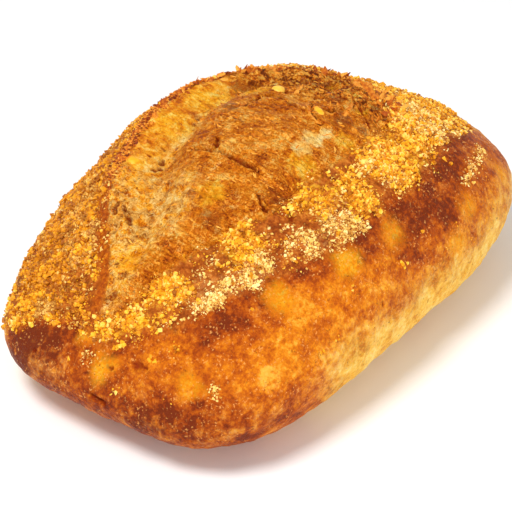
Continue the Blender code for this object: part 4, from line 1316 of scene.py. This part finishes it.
def grit_weights():
    """Weights of golden and of pale crumbs at each triangle of the crust."""
    on_flat_side = 1 - ear_side_at(middle_share, middle_across, 0.008, COAT_HEAD_TURN)
    blurred = middle_edge + 0.0016 * soft_noise(body_middles / 0.004, 91)
    clear = 1 - rise_between(blurred - 0.0022 * on_flat_side, -0.0016, 0.0004) * middle_top
    rim_side = rise_between(middle_share, 0.34, 0.46)
    lip_reach = 0.0046 + 0.0014 * rim_side
    bare_lip = (1 - on_flat_side) * rise_between(-blurred, lip_reach + 0.0016, lip_reach - 0.0006)
    at_head = rise_between(middle_share, 0.82, 0.94) * rise_between(middle_across, -0.002, -0.012)
    bare_lip *= 1 - 0.7 * at_head
    coat = coating_depth(body_middles) * clear * (1 - 0.93 * bare_lip)
    clumps = rise_between(soft_noise(body_middles / 0.0042, 92), -0.25, 0.30)
    clumps = np.maximum(clumps, 0.5 * at_head)
    lace = rise_between(soft_noise(body_middles / 0.0030, 93), -0.10, 0.30)
    ear_weight = (1 - on_flat_side) * coat
    flat_weight = on_flat_side * coat
    gold, pale = drifted(body_middles, GOLDEN_DRIFTS), drifted(body_middles, PALE_DRIFTS)
    golden_weight = ear_weight * (0.16 + 0.84 * clumps) * (0.5 + gold)
    golden_weight += 1.8 * flat_weight * (0.05 + 0.95 * clumps) * (0.03 + gold)
    pale_weight = ear_weight * (0.2 + 0.8 * lace) * (0.08 + pale)
    pale_weight += flat_weight * (0.04 + 0.96 * lace) * (0.02 + pale)
    pale_weight += drifted(body_middles, PALE_TRAILS)
    return golden_weight + 0.004 * middle_top * (1 - middle_zone["burst"]), pale_weight


def crumb_level(tree, patch_size):
    """Each crumb's own tone, lighter and darker by patches, and mottled over the crumb."""
    patches, mottle = grain(tree, patch_size, 2.0), grain(tree, 0.0007)
    return swayed(tree, painted(tree, "tone"), (patches, 1.0), (mottle, 0.7))


grit_finish, grit_tree, grit_surface = new_finish("toasted_corn_grits", 0.50, 0.3)
grit_level = crumb_level(grit_tree, 0.0060)
grit_colour = colours(
    grit_tree, grit_level, (0.05, (158, 84, 0)), (0.28, (208, 126, 4)), (0.52, (238, 162, 14)),
    (0.76, (252, 192, 40)), (1.0, (255, 216, 106)))
grit_tree.links.new(grit_colour, grit_surface.inputs["Base Color"])

flour_finish, flour_tree, flour_surface = new_finish("floured_crumbs", 0.78, 0.2)
flour_level = crumb_level(flour_tree, 0.0050)
flour_colour = colours(
    flour_tree, flour_level, (0.05, (162, 94, 26)), (0.33, (222, 162, 68)), (0.62, (250, 206, 108)),
    (0.95, (255, 232, 156)))
flour_tree.links.new(flour_colour, flour_surface.inputs["Base Color"])

golden_weight, pale_weight = grit_weights()
for name, (count, small, large, kind, clump, seed) in GRITS.items():
    draw = np.random.default_rng(seed)
    is_golden = name.startswith("golden")
    places_found, upward = clumped(golden_weight if is_golden else pale_weight, count, clump, draw)
    radii = small + (large - small) * draw.power(1.2, size=count)
    lift = np.abs(draw.normal(0, 0.35, size=count)) * radii
    tones = draw.uniform(0.1, 1.0, count)
    # Crumbs in the dull places are darker: partly their own olive colour, partly painted shade.
    tones = tones * (1 - 0.45 * np.clip(sum(
        bump(np.linalg.norm(places_found - middle, axis=1), reach) for middle, reach in DULL_AND_SHADED_PLACES), 0, 1))
    mesh, corners_each = crumb_mesh(name, places_found + upward * lift[:, None], upward, radii, kind, draw)
    dress(name, mesh, grit_finish if is_golden else flour_finish,
          tones, corners_each)

draw = np.random.default_rng(RIM_SCRAP_SEED)
scrap_weights = rim_weights * (1 - 0.7 * rise_between(middle_share, 0.62, 0.86))
scrap_places, scrap_upward = clumped(scrap_weights, RIM_SCRAP_COUNT, RIM_SCRAP_CLUMP, draw)
scrap_radii = draw.uniform(*RIM_SCRAP_RADII, RIM_SCRAP_COUNT)
mesh, corners_each = crumb_mesh("rim_scraps", scrap_places, scrap_upward, scrap_radii, "coarse", draw)
dress("rim_scraps", mesh, rim_finish, draw.uniform(0.0, 0.9, RIM_SCRAP_COUNT), corners_each)
